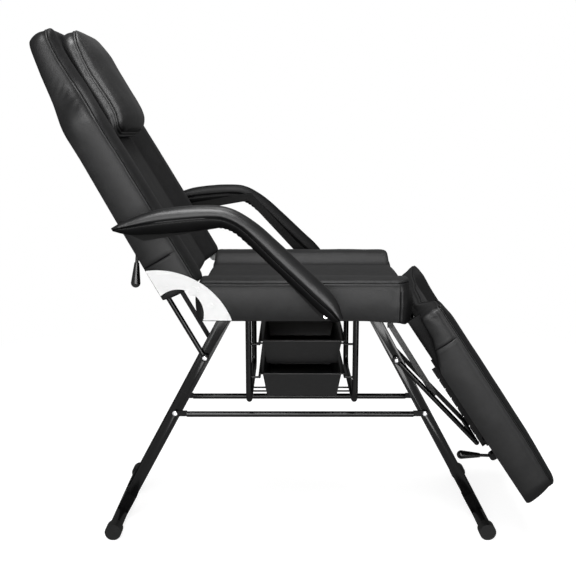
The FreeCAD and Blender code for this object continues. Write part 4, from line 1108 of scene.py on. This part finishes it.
    def build(self, shop: Workshop) -> None:
        """Make the cover and its stitching.

        Args:
            shop: Where pieces are made.
        """
        vinyl = self.finish(shop.finishes)
        made = shop.piece(self.cover(), self.name, vinyl, self.body, nodes=self.nodes, smooth_deg=70.0)
        spots = self.rim_stitches()
        for seam in self.cross_seams:
            spots += self.seam_stitches(seam)
        shop.stitches(self.name + "_stitching", self.body, spots)


@dataclass
class SeatSection(PaddedSection):
    """Seat: its front wall is open between the hinge arms, and its front lower corners sag."""

    name: str = "seat_cover"
    body: Body = Body.BASE
    nodes: tuple[str, ...] = ("seat_cushion", "seat_skirt")
    plane: Plane = SEAT_PLANE
    start: float = -0.2562
    end: float = 0.2725
    wall_line: Table = ((0.0, 0.099),)
    corner_end: float = 0.034
    cross_seams: tuple[float, ...] = (0.2480,)
    seed: float = 1.0
    opening_half: float = 0.205
    opening_reach: float = 0.02
    opening_play: float = 0.002
    long_sag: float = 0.0045
    long_sag_span: Span = (0.150, 0.240)
    short_sag: float = 0.0060
    short_sag_span: Span = (0.240, 0.268)
    corner_puckers: Puckers = Puckers(0.0013, (0.022, 0.016), 170.0, 90.0, 0.045)
    corner_dent: Dent = Dent(-0.0022, (0.034, 0.012), (0.03, 0.02))
    foot_flare: float = 0.0022
    foot_flare_span: Span = (0.080, 0.099)
    rear_tuck: float = -0.0016
    rear_tuck_at: Span = (0.012, 0.012)
    rear_swell: float = 0.0065
    rear_swell_down: Span = (0.012, 0.040)
    rear_swell_across: Span = (0.12, 0.25)

    def wall_at(self, s: float, y: float) -> float:
        """Depth of the wall, which at the front opening stops below the foam.

        Args:
            s: Length along the section.
            y: Distance across the chair.

        Returns:
            The depth below the seam plane.
        """
        if s > self.end - self.opening_reach and abs(y) < self.opening_half:
            return self.foam_height + self.opening_play
        sag = self.long_sag * ease(s, *self.long_sag_span) + self.short_sag * ease(s, *self.short_sag_span)
        return super().wall_at(s, y) + sag

    def wall_folds(self, s: float, y: float, depth: float) -> float:
        """Puckers and a dent where the front corner is drawn around the board, and a flare at its foot.

        Args:
            s: Length along the section.
            y: Distance across the chair, not used.
            depth: Depth below the seam plane.

        Returns:
            How far the wall stands out.
        """
        away = self.end - s
        corner = self.corner_puckers.at(s, away, depth) + self.corner_dent.at(away, depth)
        flare = bell(away, *self.corner_puckers.along) * ease(depth, *self.foot_flare_span)
        rear = self.rear_tuck * bell(s - self.start, *self.rear_tuck_at)
        return corner + self.foot_flare * flare + rear

    def end_folds(self, y: float, depth: float) -> float:
        """Rear wall standing out below the seam, beside the hinge plates."""
        beside = ease(abs(y), *self.rear_swell_across)
        return self.rear_swell * ease(depth, *self.rear_swell_down) * beside


@dataclass
class BackSection(PaddedSection):
    """Back rest: narrower and set back at the head, thinner towards the top."""

    name: str = "back_cover"
    body: Body = Body.BACK
    nodes: tuple[str, ...] = ("back_cushion", "back_skirt")
    plane: Plane = BACK_PLANE
    start: float = 0.0125
    end: float = 0.7295
    wall_line: Table = (
        (0.0, 0.101), (0.106, 0.0998), (0.197, 0.0982), (0.304, 0.0957), (0.413, 0.0930), (0.480, 0.0935),
        (0.511, 0.0930), (0.545, 0.0910), (0.577, 0.0879), (0.641, 0.0783), (0.690, 0.0690), (0.7295, 0.0605),
    )
    base_line: Table = (
        (0.0, 0.0), (0.330, -0.002), (0.480, -0.0045), (0.520, -0.0075), (0.560, -0.012), (0.600, -0.0153),
        (0.647, -0.0166), (0.680, -0.0155), (0.705, -0.0115), (0.7295, -0.0065),
    )
    corner_end: float = 0.028
    crown: float = 0.0065
    end_drop: float = 0.006
    end_round: float = 0.018
    cross_seams: tuple[float, ...] = (0.107,)
    rows: int = 168
    seed: float = 3.0
    head_half: float = 0.2425
    shoulder: Span = (0.470, 0.590)
    level_share: float = 0.4
    level_along: Span = (0.640, 0.722)
    level_inward: Span = (0.02, 0.08)
    fan_height: float = 0.0015
    fan_folds: float = 13.0
    fan_from: Span = (0.560, 0.004)
    fan_width: float = 0.045
    fan_start: Span = (0.006, 0.02)
    dents_at_kink: tuple[Dent, ...] = (
        Dent(-0.0035, (0.555, 0.030), (0.060, 0.025)), Dent(0.0040, (0.495, 0.030), (0.068, 0.022)),
    )
    drawn: Dent = Dent(0.0010, (0.585, 0.022), (0.045, 0.02))
    drawn_waves: float = 330.0
    drawn_slant: float = 0.7

    def width_at(self, s: float) -> float:
        """Full width up to the shoulder, then the head's."""
        return self.half_width + (self.head_half - self.half_width) * ease(s, *self.shoulder)

    def profile(self, s: float, inward: float) -> float:
        """Hollow between the bolsters that runs out before the top end.

        Args:
            s: Length along the section.
            inward: Distance from the side.

        Returns:
            Height above the sewn rim.
        """
        height = super().profile(s, inward)
        level = self.level_share * self.crown
        return height + (level - height) * ease(s, *self.level_along) * ease(inward, *self.level_inward)

    def wall_folds(self, s: float, y: float, depth: float) -> float:
        """Short tucks that fan out from the shoulder's inward bend, and soft dents behind them.

        Args:
            s: Length along the section.
            y: Distance across the chair, not used.
            depth: Depth below the seam plane.

        Returns:
            How far the wall stands out.
        """
        at, level = self.fan_from
        away = math.hypot(s - at, depth - level)
        fan = self.fan_height * math.sin(math.atan2(depth, s - at) * self.fan_folds)
        fan *= bell(away, 0.0, self.fan_width) * ease(away, *self.fan_start)
        waves = math.sin((s + self.drawn_slant * depth) * self.drawn_waves)
        dents = sum(dent.at(s, depth) for dent in self.dents_at_kink)
        return fan + dents + waves * self.drawn.at(s, depth)


@dataclass
class LegSection(PaddedSection):
    """Leg rest: only a foam deep next to the seat, full depth beyond its cross seam."""

    name: str = "leg_rest_cover"
    body: Body = Body.LEG
    nodes: tuple[str, ...] = ("leg_cushion", "leg_skirt")
    plane: Plane = LEG_PLANE
    start: float = 0.0290
    end: float = 0.6100
    wall_line: Table = (
        (0.017, 0.0555), (0.040, 0.0580), (0.094, 0.0615), (0.120, 0.0705), (0.136, 0.0745), (0.150, 0.0800),
        (0.165, 0.0865), (0.180, 0.0910), (0.190, 0.0920),
    )
    foam_height: float = 0.052
    corner_start: float = 0.012
    corner_end: float = 0.038
    crown: float = 0.0080
    rim_drop: float = 0.005
    end_drop: float = 0.006
    end_round: float = 0.016
    far_drop: float = 0.0165
    far_round: float = 0.032
    end_lean: float = 0.0160
    end_slack: float = 0.60
    start_draw: float = 0.0095
    cross_seams: tuple[float, ...] = (0.1215,)
    rows: int = 150
    seed: float = 7.0
    far_rise: float = 0.0065
    far_rise_span: Span = (0.10, 0.55)
    end_fall: float = 0.0060
    end_fall_span: Span = (0.44, 0.60)
    swell: float = 0.0034
    swell_at: Span = (0.065, 0.034)
    swell_across: Span = (0.0, 0.12)
    hollow: float = 0.0028
    hollow_inward: Span = (0.0, 0.02)
    hollow_along: Span = (0.035, 0.085)
    peak_base: float = -0.011
    peak_rise: float = 0.0340
    peak_power: float = 2.4
    peak_along: Span = (0.032, 0.066)
    peak_across: Span = (0.0, 0.08)
    bump: float = 0.0060
    bump_at: Span = (0.047, 0.011)
    bump_across: Span = (0.15, 0.27)
    corner_puckers: Puckers = Puckers(0.0014, (0.014, 0.014), 230.0, 80.0, 0.05)

    def top(self, s: float, y: float) -> float:
        """Height of the top, which the cover draws up towards the far side near the seat.

        Args:
            s: Length along the section.
            y: Distance across the chair.

        Returns:
            Height above the seam plane.
        """
        far = y / self.half_width
        height = super().top(s, y) + self.far_rise * (1 + far) * (1 - ease(s, *self.far_rise_span))
        height -= self.end_fall * ease(s, *self.end_fall_span)
        height += self.swell * bell(s, *self.swell_at) * ease(y, *self.swell_across)
        inside = ease(self.half_at(s) - abs(y), *self.hollow_inward) * (1 - ease(s, *self.hollow_along))
        height -= self.hollow * inside * (1 - far)
        if y <= 0.0:
            return height
        peak = self.peak_base + self.peak_rise * far ** self.peak_power
        height += (peak - height) * (1 - ease(s, *self.peak_along)) * ease(y, *self.peak_across)
        return height + self.bump * bell(s, *self.bump_at) * ease(y, *self.bump_across)

    def wall_folds(self, s: float, y: float, depth: float) -> float:
        """Puckers where the start corner is drawn together."""
        return self.corner_puckers.at(s, s - self.start, depth)


@dataclass
class HeadPillow(PaddedSection):
    """Stuffed pillow: upright sides, a sewn rim and a domed face, seated in the back's hollow."""

    name: str = "head_pillow_cover"
    body: Body = Body.PILLOW
    nodes: tuple[str, ...] = ("head_pillow",)
    plane: Plane = BACK_PLANE
    start: float = 0.4345
    end: float = 0.7155
    wall_line: Table = ((0.0, 0.0185),)
    base_line: Table = (
        (0.432, 0.0040), (0.451, 0.0090), (0.463, 0.0155), (0.485, 0.0220), (0.515, 0.0232), (0.560, 0.0205),
        (0.600, 0.0185), (0.640, 0.0215), (0.676, 0.0270), (0.700, 0.0330), (0.716, 0.0350),
    )
    foam_height: float = 0.0160
    half_width: float = 0.1455
    corner_start: float = 0.034
    corner_end: float = 0.040
    bulge: float = 0.0045
    rows: int = 84
    columns: int = 72
    seed: float = 5.0
    waist: float = 0.005
    crest: float = 0.0565
    side_powers: Span = (2.5, 0.42)
    low_round: float = 0.090
    low_powers: Span = (3, 1 / 3)
    top_round: float = 0.080
    top_powers: Span = (1.7, 0.6)
    face_dents: Span = (0.0013, 16.0)
    face_puckers: Span = (0.0011, 52.0)
    face_pucker_fade: float = 5.0
    face_pucker_rise: float = 8.0
    gathers: float = 0.0008
    gather_waves: float = 260.0
    gather_fade: float = 0.012

    def finish(self, finishes: Finishes) -> bpy.types.Material:
        """A lighter, glossier copy of the vinyl: painted light on the pillow."""
        return finishes.lit_pillow_vinyl

    def width_at(self, s: float) -> float:
        """Half width, drawn in a little between the corners."""
        middle = (s - self.start) / (self.end - self.start)
        return self.half_width - self.waist * math.sin(math.pi * min(1.0, max(0.0, middle)))

    def dome(self, s: float, y: float) -> float:
        """Round the face off towards every side of the rim.

        Args:
            s: Length along the section.
            y: Distance across the chair.

        Returns:
            Share of the face's full height.
        """
        side = rounded_share(abs(y) / max(MM, self.half_at(s)), self.side_powers)
        low = rounded_share(max(0.0, 1 - (s - self.start) / self.low_round), self.low_powers)
        top = rounded_share(max(0.0, 1 - (self.end - s) / self.top_round), self.top_powers)
        return side * low * top

    def top(self, s: float, y: float) -> float:
        """Height of the face, with soft dents and small puckers along the rim.

        Args:
            s: Length along the section.
            y: Distance across the chair.

        Returns:
            Height above the back's seam plane.
        """
        share = self.dome(s, y)
        spot = Vector((s, y, self.seed))
        rim = self.base_at(s)
        height = rim + (self.crest - rim) * share
        height += self.face_dents[0] * noise.noise(spot * self.face_dents[1]) * share
        near_rim = math.exp(-share * self.face_pucker_fade) * min(1.0, share * self.face_pucker_rise)
        return height + self.face_puckers[0] * noise.noise(spot * self.face_puckers[1]) * near_rim

    def wall_folds(self, s: float, y: float, depth: float) -> float:
        """Small gathers that hang from the rim."""
        below = max(0.0, depth + self.base_at(s))
        return self.gathers * math.sin(s * self.gather_waves) * math.exp(-below / self.gather_fade)


@dataclass
class SetInPanels:
    """Covered set-in panels beside the leg rest hinge."""

    plane: Plane = LEG_PLANE
    start: float = 0.0250
    end: float = 0.2040
    low: float = -0.0915
    high: float = -0.0525
    outer: float = 0.2745
    thickness: float = 0.0110
    puff: float = 0.0028
    dimples: float = 0.0012
    dimples_along: float = 30.0
    dimples_down: float = 40.0
    cuts: int = 14

    def build(self, shop: Workshop) -> None:
        """Make both set-in panels as one piece, puffed and dimpled where they are tacked.

        Args:
            shop: Where pieces are made.
        """
        mesh = bmesh.new()
        for _ in Side:
            made = bmesh.ops.create_cube(mesh, size=1.0)
            block = list({e for v in made["verts"] for e in v.link_edges})
            bmesh.ops.subdivide_edges(mesh, edges=block, cuts=self.cuts, use_grid_fill=True)
        half = len(mesh.verts) // 2
        for number, v in enumerate(mesh.verts):
            side = -1 if number < half else 1
            a, b, c = v.co
            s = self.start + (self.end - self.start) * (a + 0.5)
            h = self.low + (self.high - self.low) * (b + 0.5)
            spot = Vector((s * self.dimples_along, h * self.dimples_down, side))
            swell = self.puff * ((1 - (2 * a) ** 6) * (1 - (2 * b) ** 4) - 1)
            swell += self.dimples * noise.noise(spot)
            y = side * (self.outer - self.thickness * (0.5 - c) + swell * (c > 0))
            v.co = self.plane.place(s, y, h)
        # The panels take the darker copy of the vinyl: painted shade in the recess.
        made = shop.piece(
            mesh, "leg_rest_set_in_panels", shop.finishes.shade_painted_vinyl, Body.LEG,
            nodes=["leg_side_infills"], smooth_deg=70.0,
        )


@dataclass
class BoardLining:
    """Black cloth tacked under a board, which may be turned up around the board's first end."""

    name: str
    body: Body
    plane: Plane
    start: float
    end: float
    halves: Table
    depths: Table
    turned_up: float = 0.0
    wrap: float = 0.0
    thickness: float = 0.0006
    slack: Span = (0.0005, 25.0)
    columns: int = 80
    rows: int = 60
    seed: float = 2.0

    def build(self, shop: Workshop) -> None:
        """Make the cloth.

        Args:
            shop: Where pieces are made.
        """
        mesh = bmesh.new()
        bmesh.ops.create_grid(mesh, x_segments=self.columns, y_segments=self.rows, size=0.5)
        for v in mesh.verts:
            column = round((v.co.x + 0.5) * self.columns)
            s = self.start + (self.end - self.start) * max(0, column - 2) / (self.columns - 2)
            if column == 0:
                s = self.start + self.wrap
            y = 2 * v.co.y * read_table(self.halves, s)
            spot = Vector((s * self.slack[1], y * self.slack[1], self.seed))
            height = self.slack[0] * noise.noise(spot) - read_table(self.depths, s)
            v.co = self.plane.place(s, y, height + self.turned_up * (column < 2))
        bmesh.ops.remove_doubles(mesh, verts=mesh.verts, dist=WELD)
        bmesh.ops.solidify(mesh, geom=mesh.faces, thickness=self.thickness)
        shop.piece(mesh, self.name, shop.finishes.cloth, self.body)


LEG_LINING = BoardLining(
    "leg_rest_underlining", Body.LEG, LEG_PLANE, start=0.0310, end=0.6010,
    halves=((0.205, 0.2610), (0.213, 0.2812)), depths=((0.0, 0.0652),), turned_up=0.0142, wrap=0.0120,
)
BACK_LINING = BoardLining(
    "back_underlining", Body.BACK, BACK_PLANE, start=0.0275, end=0.7165,
    halves=(
        (0.430, 0.2812), (0.470, 0.2735), (0.505, 0.2595), (0.565, 0.2355), (0.600, 0.2275), (0.668, 0.2275),
        (0.690, 0.2250), (0.7165, 0.2010),
    ),
    depths=((0.505, 0.0712), (0.563, 0.0686), (0.609, 0.0666), (0.668, 0.0640), (0.730, 0.0612)),
)


def along_points(points: Table, t: float) -> Vector:
    """A smooth line through points, read at a share of their number.

    Args:
        points: Pairs of X and Z in millimetres.
        t: From 0 at the first point to 1 at the last.

    Returns:
        X and Z on the line in metres.
    """
    last = len(points) - 1
    place = min(max(t, 0.0), 1.0) * last
    i = min(int(place), last - 1)
    f = place - i
    a, b, c, d = (Vector(points[max(0, min(last, i + k))]) for k in (-1, 0, 1, 2))
    bend = (2 * a - 5 * b + 4 * c - d) * f * f + (3 * b - a - 3 * c + d) * f ** 3
    return (2 * b + (c - a) * f + bend) * 0.5 * MM


@dataclass
class ArmRest:
    """Bent padded arm, sewn along the middle of both faces."""

    side: Side
    middle_y: float = 0.400
    half_width: float = 0.0285
    top: Table = (
        (-446, 877), (-412, 895), (-345, 918), (-267, 928), (-207, 929), (-171, 923), (-134, 905),
        (-94, 876), (-37, 824), (20, 770), (58, 734), (82, 703), (97, 664),
    )
    seam: Table = (
        (-443, 874), (-407, 880), (-345, 890), (-267, 898), (-206, 901), (-176, 896), (-145, 880),
        (-113, 852), (-60, 799), (-3, 745), (39, 705), (64, 683), (89, 657),
    )
    under: Table = (
        (-440, 868), (-402, 860), (-340, 862), (-270, 867), (-212, 875), (-184, 875), (-159, 864),
        (-130, 840), (-76, 788), (-19, 734), (20, 696), (43, 674), (70, 653),
    )
    upper_powers: Span = (0.72, 0.72)
    lower_powers: Span = (0.80, 0.88)
    tip_taper: float = 0.30
    tip_span: Span = (0.0, 0.05)
    nose_taper: float = 0.10
    nose_span: Span = (0.96, 1.0)
    groove: float = 0.0042
    groove_width: float = 0.06
    dents: Span = (0.0006, 30.0)
    dents_around: float = 0.03
    creases: float = 0.0011
    crease_waves: float = 520.0
    creases_at: Span = (-0.150, 0.055)
    creases_below: float = 0.3
    least_reach: float = 0.004
    rows: int = 150
    around: int = 56
    end_crowd: float = 0.5
    seam_crowd: float = 0.36
    stitch_count: int = 96
    stitch_span: Span = (0.03, 0.96)
    stitch_share: float = 0.006
    stitch_turn: float = 0.10

    def section(self, t: float, turn: float) -> Vector:
        """Point of the pad's surface.

        Args:
            t: From 0 at the rear tip to 1 at the nose.
            turn: Angle around the section, 0 at the outer seam, a quarter turn on top.

        Returns:
            The point in the chair's frame.
        """
        upper = math.sin(turn) >= 0
        across_power, up_power = self.upper_powers if upper else self.lower_powers
        seam = along_points(self.seam, t)
        reach = along_points(self.top if upper else self.under, t) - seam
        across = math.cos(turn)
        up = abs(math.sin(turn))
        taper = 1 - self.tip_taper * (1 - ease(t, *self.tip_span))
        taper -= self.nose_taper * ease(t, *self.nose_span)
        half = self.half_width * taper - self.groove * bell(up, 0.0, self.groove_width)
        spot = Vector((seam.x, turn * self.dents_around, seam.y + self.side.value))
        rough = self.dents[0] * noise.noise(spot * self.dents[1])
        if math.sin(turn) < self.creases_below:
            waves = math.sin(seam.x * self.crease_waves + turn * 2)
            rough += self.creases * bell(seam.x, *self.creases_at) * waves
        if reach.length > self.least_reach:
            reach = reach.normalized() * (reach.length + rough)
        place = seam + reach * up ** up_power
        width = math.copysign(abs(across) ** across_power, across)
        return Vector((place.x, self.side.value * self.middle_y + width * half, place.y))

    def stitches(self) -> Spots:
        """Stitches beside the seams of both faces.

        Returns:
            Pairs of a place and the direction and length of a stitch.
        """
        first, last = self.stitch_span
        spots = []
        for face in (0.0, math.pi):
            for i in range(self.stitch_count):
                t = first + (last - first) * i / self.stitch_count
                here = self.section(t, face + self.stitch_turn)
                there = self.section(t + self.stitch_share, face + self.stitch_turn)
                spots.append((here, there - here))
        return spots

    def build(self, shop: Workshop) -> None:
        """Make the pad, with a darker copy of the vinyl below its seams as painted shade, and its stitching.

        Args:
            shop: Where pieces are made.
        """
        mesh = bmesh.new()
        bmesh.ops.create_grid(mesh, x_segments=self.rows, y_segments=self.around, size=0.5)
        # Faces of the lower half take the second material, the darker vinyl: painted shade.
        for face in mesh.faces:
            face.material_index = int(face.calc_center_median().y > 0)
        for v in mesh.verts:
            turn = 2 * math.pi * (v.co.y + 0.5)
            t = crowded(v.co.x + 0.5, self.end_crowd)
            v.co = self.section(t, turn - self.seam_crowd * math.sin(2 * turn))
        bmesh.ops.remove_doubles(mesh, verts=mesh.verts, dist=WELD)
        bmesh.ops.holes_fill(mesh, edges=[e for e in mesh.edges if e.is_boundary], sides=0)
        near = self.side is Side.LEFT
        name = "armrest_" + self.side.name.lower()
        body = Body.ARM_LEFT if near else Body.ARM_RIGHT
        # The far arm's pad gets the darker copy of the vinyl: painted shade.
        vinyl = shop.finishes.arm_vinyl if near else shop.finishes.far_arm_shaded_vinyl
        made = shop.piece(mesh, name + "_cover", vinyl, body, nodes=[name + "_pad"])
        # Second material: the darker vinyl, painted shade on the lower half.
        made.data.materials.append(shop.finishes.shade_painted_vinyl)
        shop.stitches(name + "_stitching", body, self.stitches())


@dataclass
class FrameTubes:
    """Square tubes of the legs, the seat frame and the leg rest's frame."""

    base_tubes: tuple[str, ...] = (
        "front_leg_left", "front_leg_right", "rear_leg_left", "rear_leg_right", "seat_frame",
    )
    base_edge: float = 0.0022
    leg_edge: float = 0.0018

    def build(self, shop: Workshop) -> None:
        """Make the tubes with their rounded edges.

        Args:
            shop: Where pieces are made.
        """
        black = shop.finishes.black
        for node in self.base_tubes:
            shop.eased(node, node + "_tube", black, Body.BASE, self.base_edge)
        shop.eased("leg_frame", "leg_frame_tubes", black, Body.LEG, self.leg_edge)


@dataclass
class Trays:
    """Upper and lower tray with softened edges."""

    edge: float = 0.0009

    def build(self, shop: Workshop) -> None:
        """Make both trays.

        Args:
            shop: Where pieces are made.
        """
        for body in (Body.UPPER_TRAY, Body.LOWER_TRAY):
            node = body.value
            shop.eased(node, node + "_shell", shop.finishes.tray, body, self.edge)


@dataclass(frozen=True)
class Lamp:
    """One soft square lamp, or a reflector panel that is only seen mirrored."""

    name: str
    at: Triple
    size: float
    power: float
    gloss_only: bool = False
    to: Triple = (0.0, 0.0, 0.7)

    def build(self) -> None:
        """Hang the lamp where it stands, pointing where it should."""
        data = bpy.data.lights.new(self.name, "AREA")
        data.shape = "SQUARE"
        data.size = self.size
        data.energy = self.power
        made = bpy.data.objects.new(self.name, data)
        made.location = self.at
        made.rotation_euler = (Vector(self.to) - Vector(self.at)).to_track_quat("-Z", "Y").to_euler()
        made.visible_diffuse = not self.gloss_only
        bpy.context.scene.collection.objects.link(made)


@dataclass
class Studio:
    """Camera, soft lights, pale floor and white surroundings."""

    camera_at: Triple = (-0.034, -2.378, 1.097)
    pitch_deg: float = 79.58
    lens: float = 53.0
    sensor: float = 36.0
    soft_light: float = 0.16
    floor_half: float = 14.0
    floor_gap: float = 0.0005
    floor_colour: Triple = grey(0.30)
    floor_roughness: float = 0.9
    floor_glow: float = 0.86
    floor_reach: float = 0.4
    floor_fade: Span = (0.0, 0.5)
    lamps: tuple[Lamp, ...] = (
        Lamp("high_softbox", (-0.35, -1.5, 3.3), 1.6, 66.0),
        Lamp("overhead_softbox", (0.2, 0.8, 3.3), 1.2, 28.0),
        Lamp("front_softbox", (-0.8, -3.3, 1.6), 1.6, 58.0),
        Lamp("high_reflector", (-0.30, -1.7, 3.1), 1.5, 230.0, gloss_only=True),
        Lamp("overhead_reflector", (0.1, 0.5, 3.3), 1.2, 60.0, gloss_only=True),
        Lamp("front_reflector", (-0.2, -3.4, 1.0), 1.5, 75.0, gloss_only=True),
        Lamp("low_reflector", (1.1, -3.0, 0.3), 1.2, 100.0, gloss_only=True, to=(0.3, 0.0, 0.5)),
    )

    def camera(self) -> None:
        """Put the camera at the photograph's viewing angle."""
        data = bpy.data.cameras.new("camera")
        data.lens = self.lens
        data.sensor_width = self.sensor
        data.sensor_fit = "HORIZONTAL"
        made = bpy.data.objects.new("camera", data)
        made.location = self.camera_at
        made.rotation_euler = (math.radians(self.pitch_deg), 0.0, 0.0)
        bpy.context.scene.collection.objects.link(made)
        bpy.context.scene.camera = made

    def surroundings(self) -> None:
        """White where the camera, a gloss or a clear surface looks, plain soft light elsewhere."""
        world = bpy.data.worlds.new("surroundings")
        bpy.context.scene.world = world
        world.use_nodes = True
        nodes = Nodes(world.node_tree)
        white = (1, 1, 1, 1)
        soft = nodes.node("ShaderNodeBackground", Color=white, Strength=self.soft_light)
        seen = nodes.node("ShaderNodeBackground", Color=white, Strength=1.0)
        rays = nodes.rays("Is Camera Ray", "Is Glossy Ray", "Is Transmission Ray")
        both = nodes.join("ShaderNodeMixShader", rays, soft.outputs[0], seen.outputs[0])
        nodes.link(both, nodes.node("ShaderNodeOutputWorld").inputs[0])

    def floor(self) -> None:
        """Pale floor that shows white to the camera and keeps the chair's shadow."""
        mesh = bmesh.new()
        below = Matrix.Translation((0, 0, -self.floor_gap))
        bmesh.ops.create_grid(mesh, x_segments=2, y_segments=2, size=self.floor_half, matrix=below)
        data = bpy.data.meshes.new("floor")
        mesh.to_mesh(data)
        mesh.free()
        made = bpy.data.objects.new("floor", data)
        bpy.context.scene.collection.objects.link(made)
        s = Shading("floor_paint")
        s.set(Base_Color=(*self.floor_colour, 1), Roughness=self.floor_roughness)
        plain = s.shader.outputs[0]
        glow = s.node("ShaderNodeEmission", Strength=self.floor_glow).outputs[0]
        white = s.node("ShaderNodeEmission", Strength=1.0).outputs[0]
        stretch = (self.floor_reach, self.floor_reach, self.floor_reach)
        reach = s.texture("ShaderNodeTexGradient", stretch, gradient_type="SPHERICAL")
        near = s.join("ShaderNodeAddShader", plain, glow)
        share = s.spread(reach.outputs["Fac"], self.floor_fade)
        far = s.join("ShaderNodeMixShader", share, white, near)
        rays = s.rays("Is Camera Ray", "Is Glossy Ray")
        s.link(s.join("ShaderNodeMixShader", rays, plain, far), s.output.inputs[0])
        data.materials.append(s.material)

    def build(self) -> None:
        """Set up the whole studio."""
        bpy.context.scene.view_settings.view_transform = "Standard"
        self.camera()
        self.surroundings()
        self.floor()
        for lamp in self.lamps:
            lamp.build()


def main() -> None:
    """Build the chair piece by piece, then the studio."""
    logging.basicConfig(level=logging.INFO, format="%(message)s")
    finishes = Finishes()
    finishes.dress_nodes()
    shop = Workshop(finishes)
    for sub_assembly in (
        SeatSection(), BackSection(), LegSection(), SetInPanels(), LEG_LINING, BACK_LINING, HeadPillow(),
        ArmRest(Side.LEFT), ArmRest(Side.RIGHT), FrameTubes(), Trays(),
    ):
        sub_assembly.build(shop)
    Studio().build()


if __name__ == "__main__":
    main()
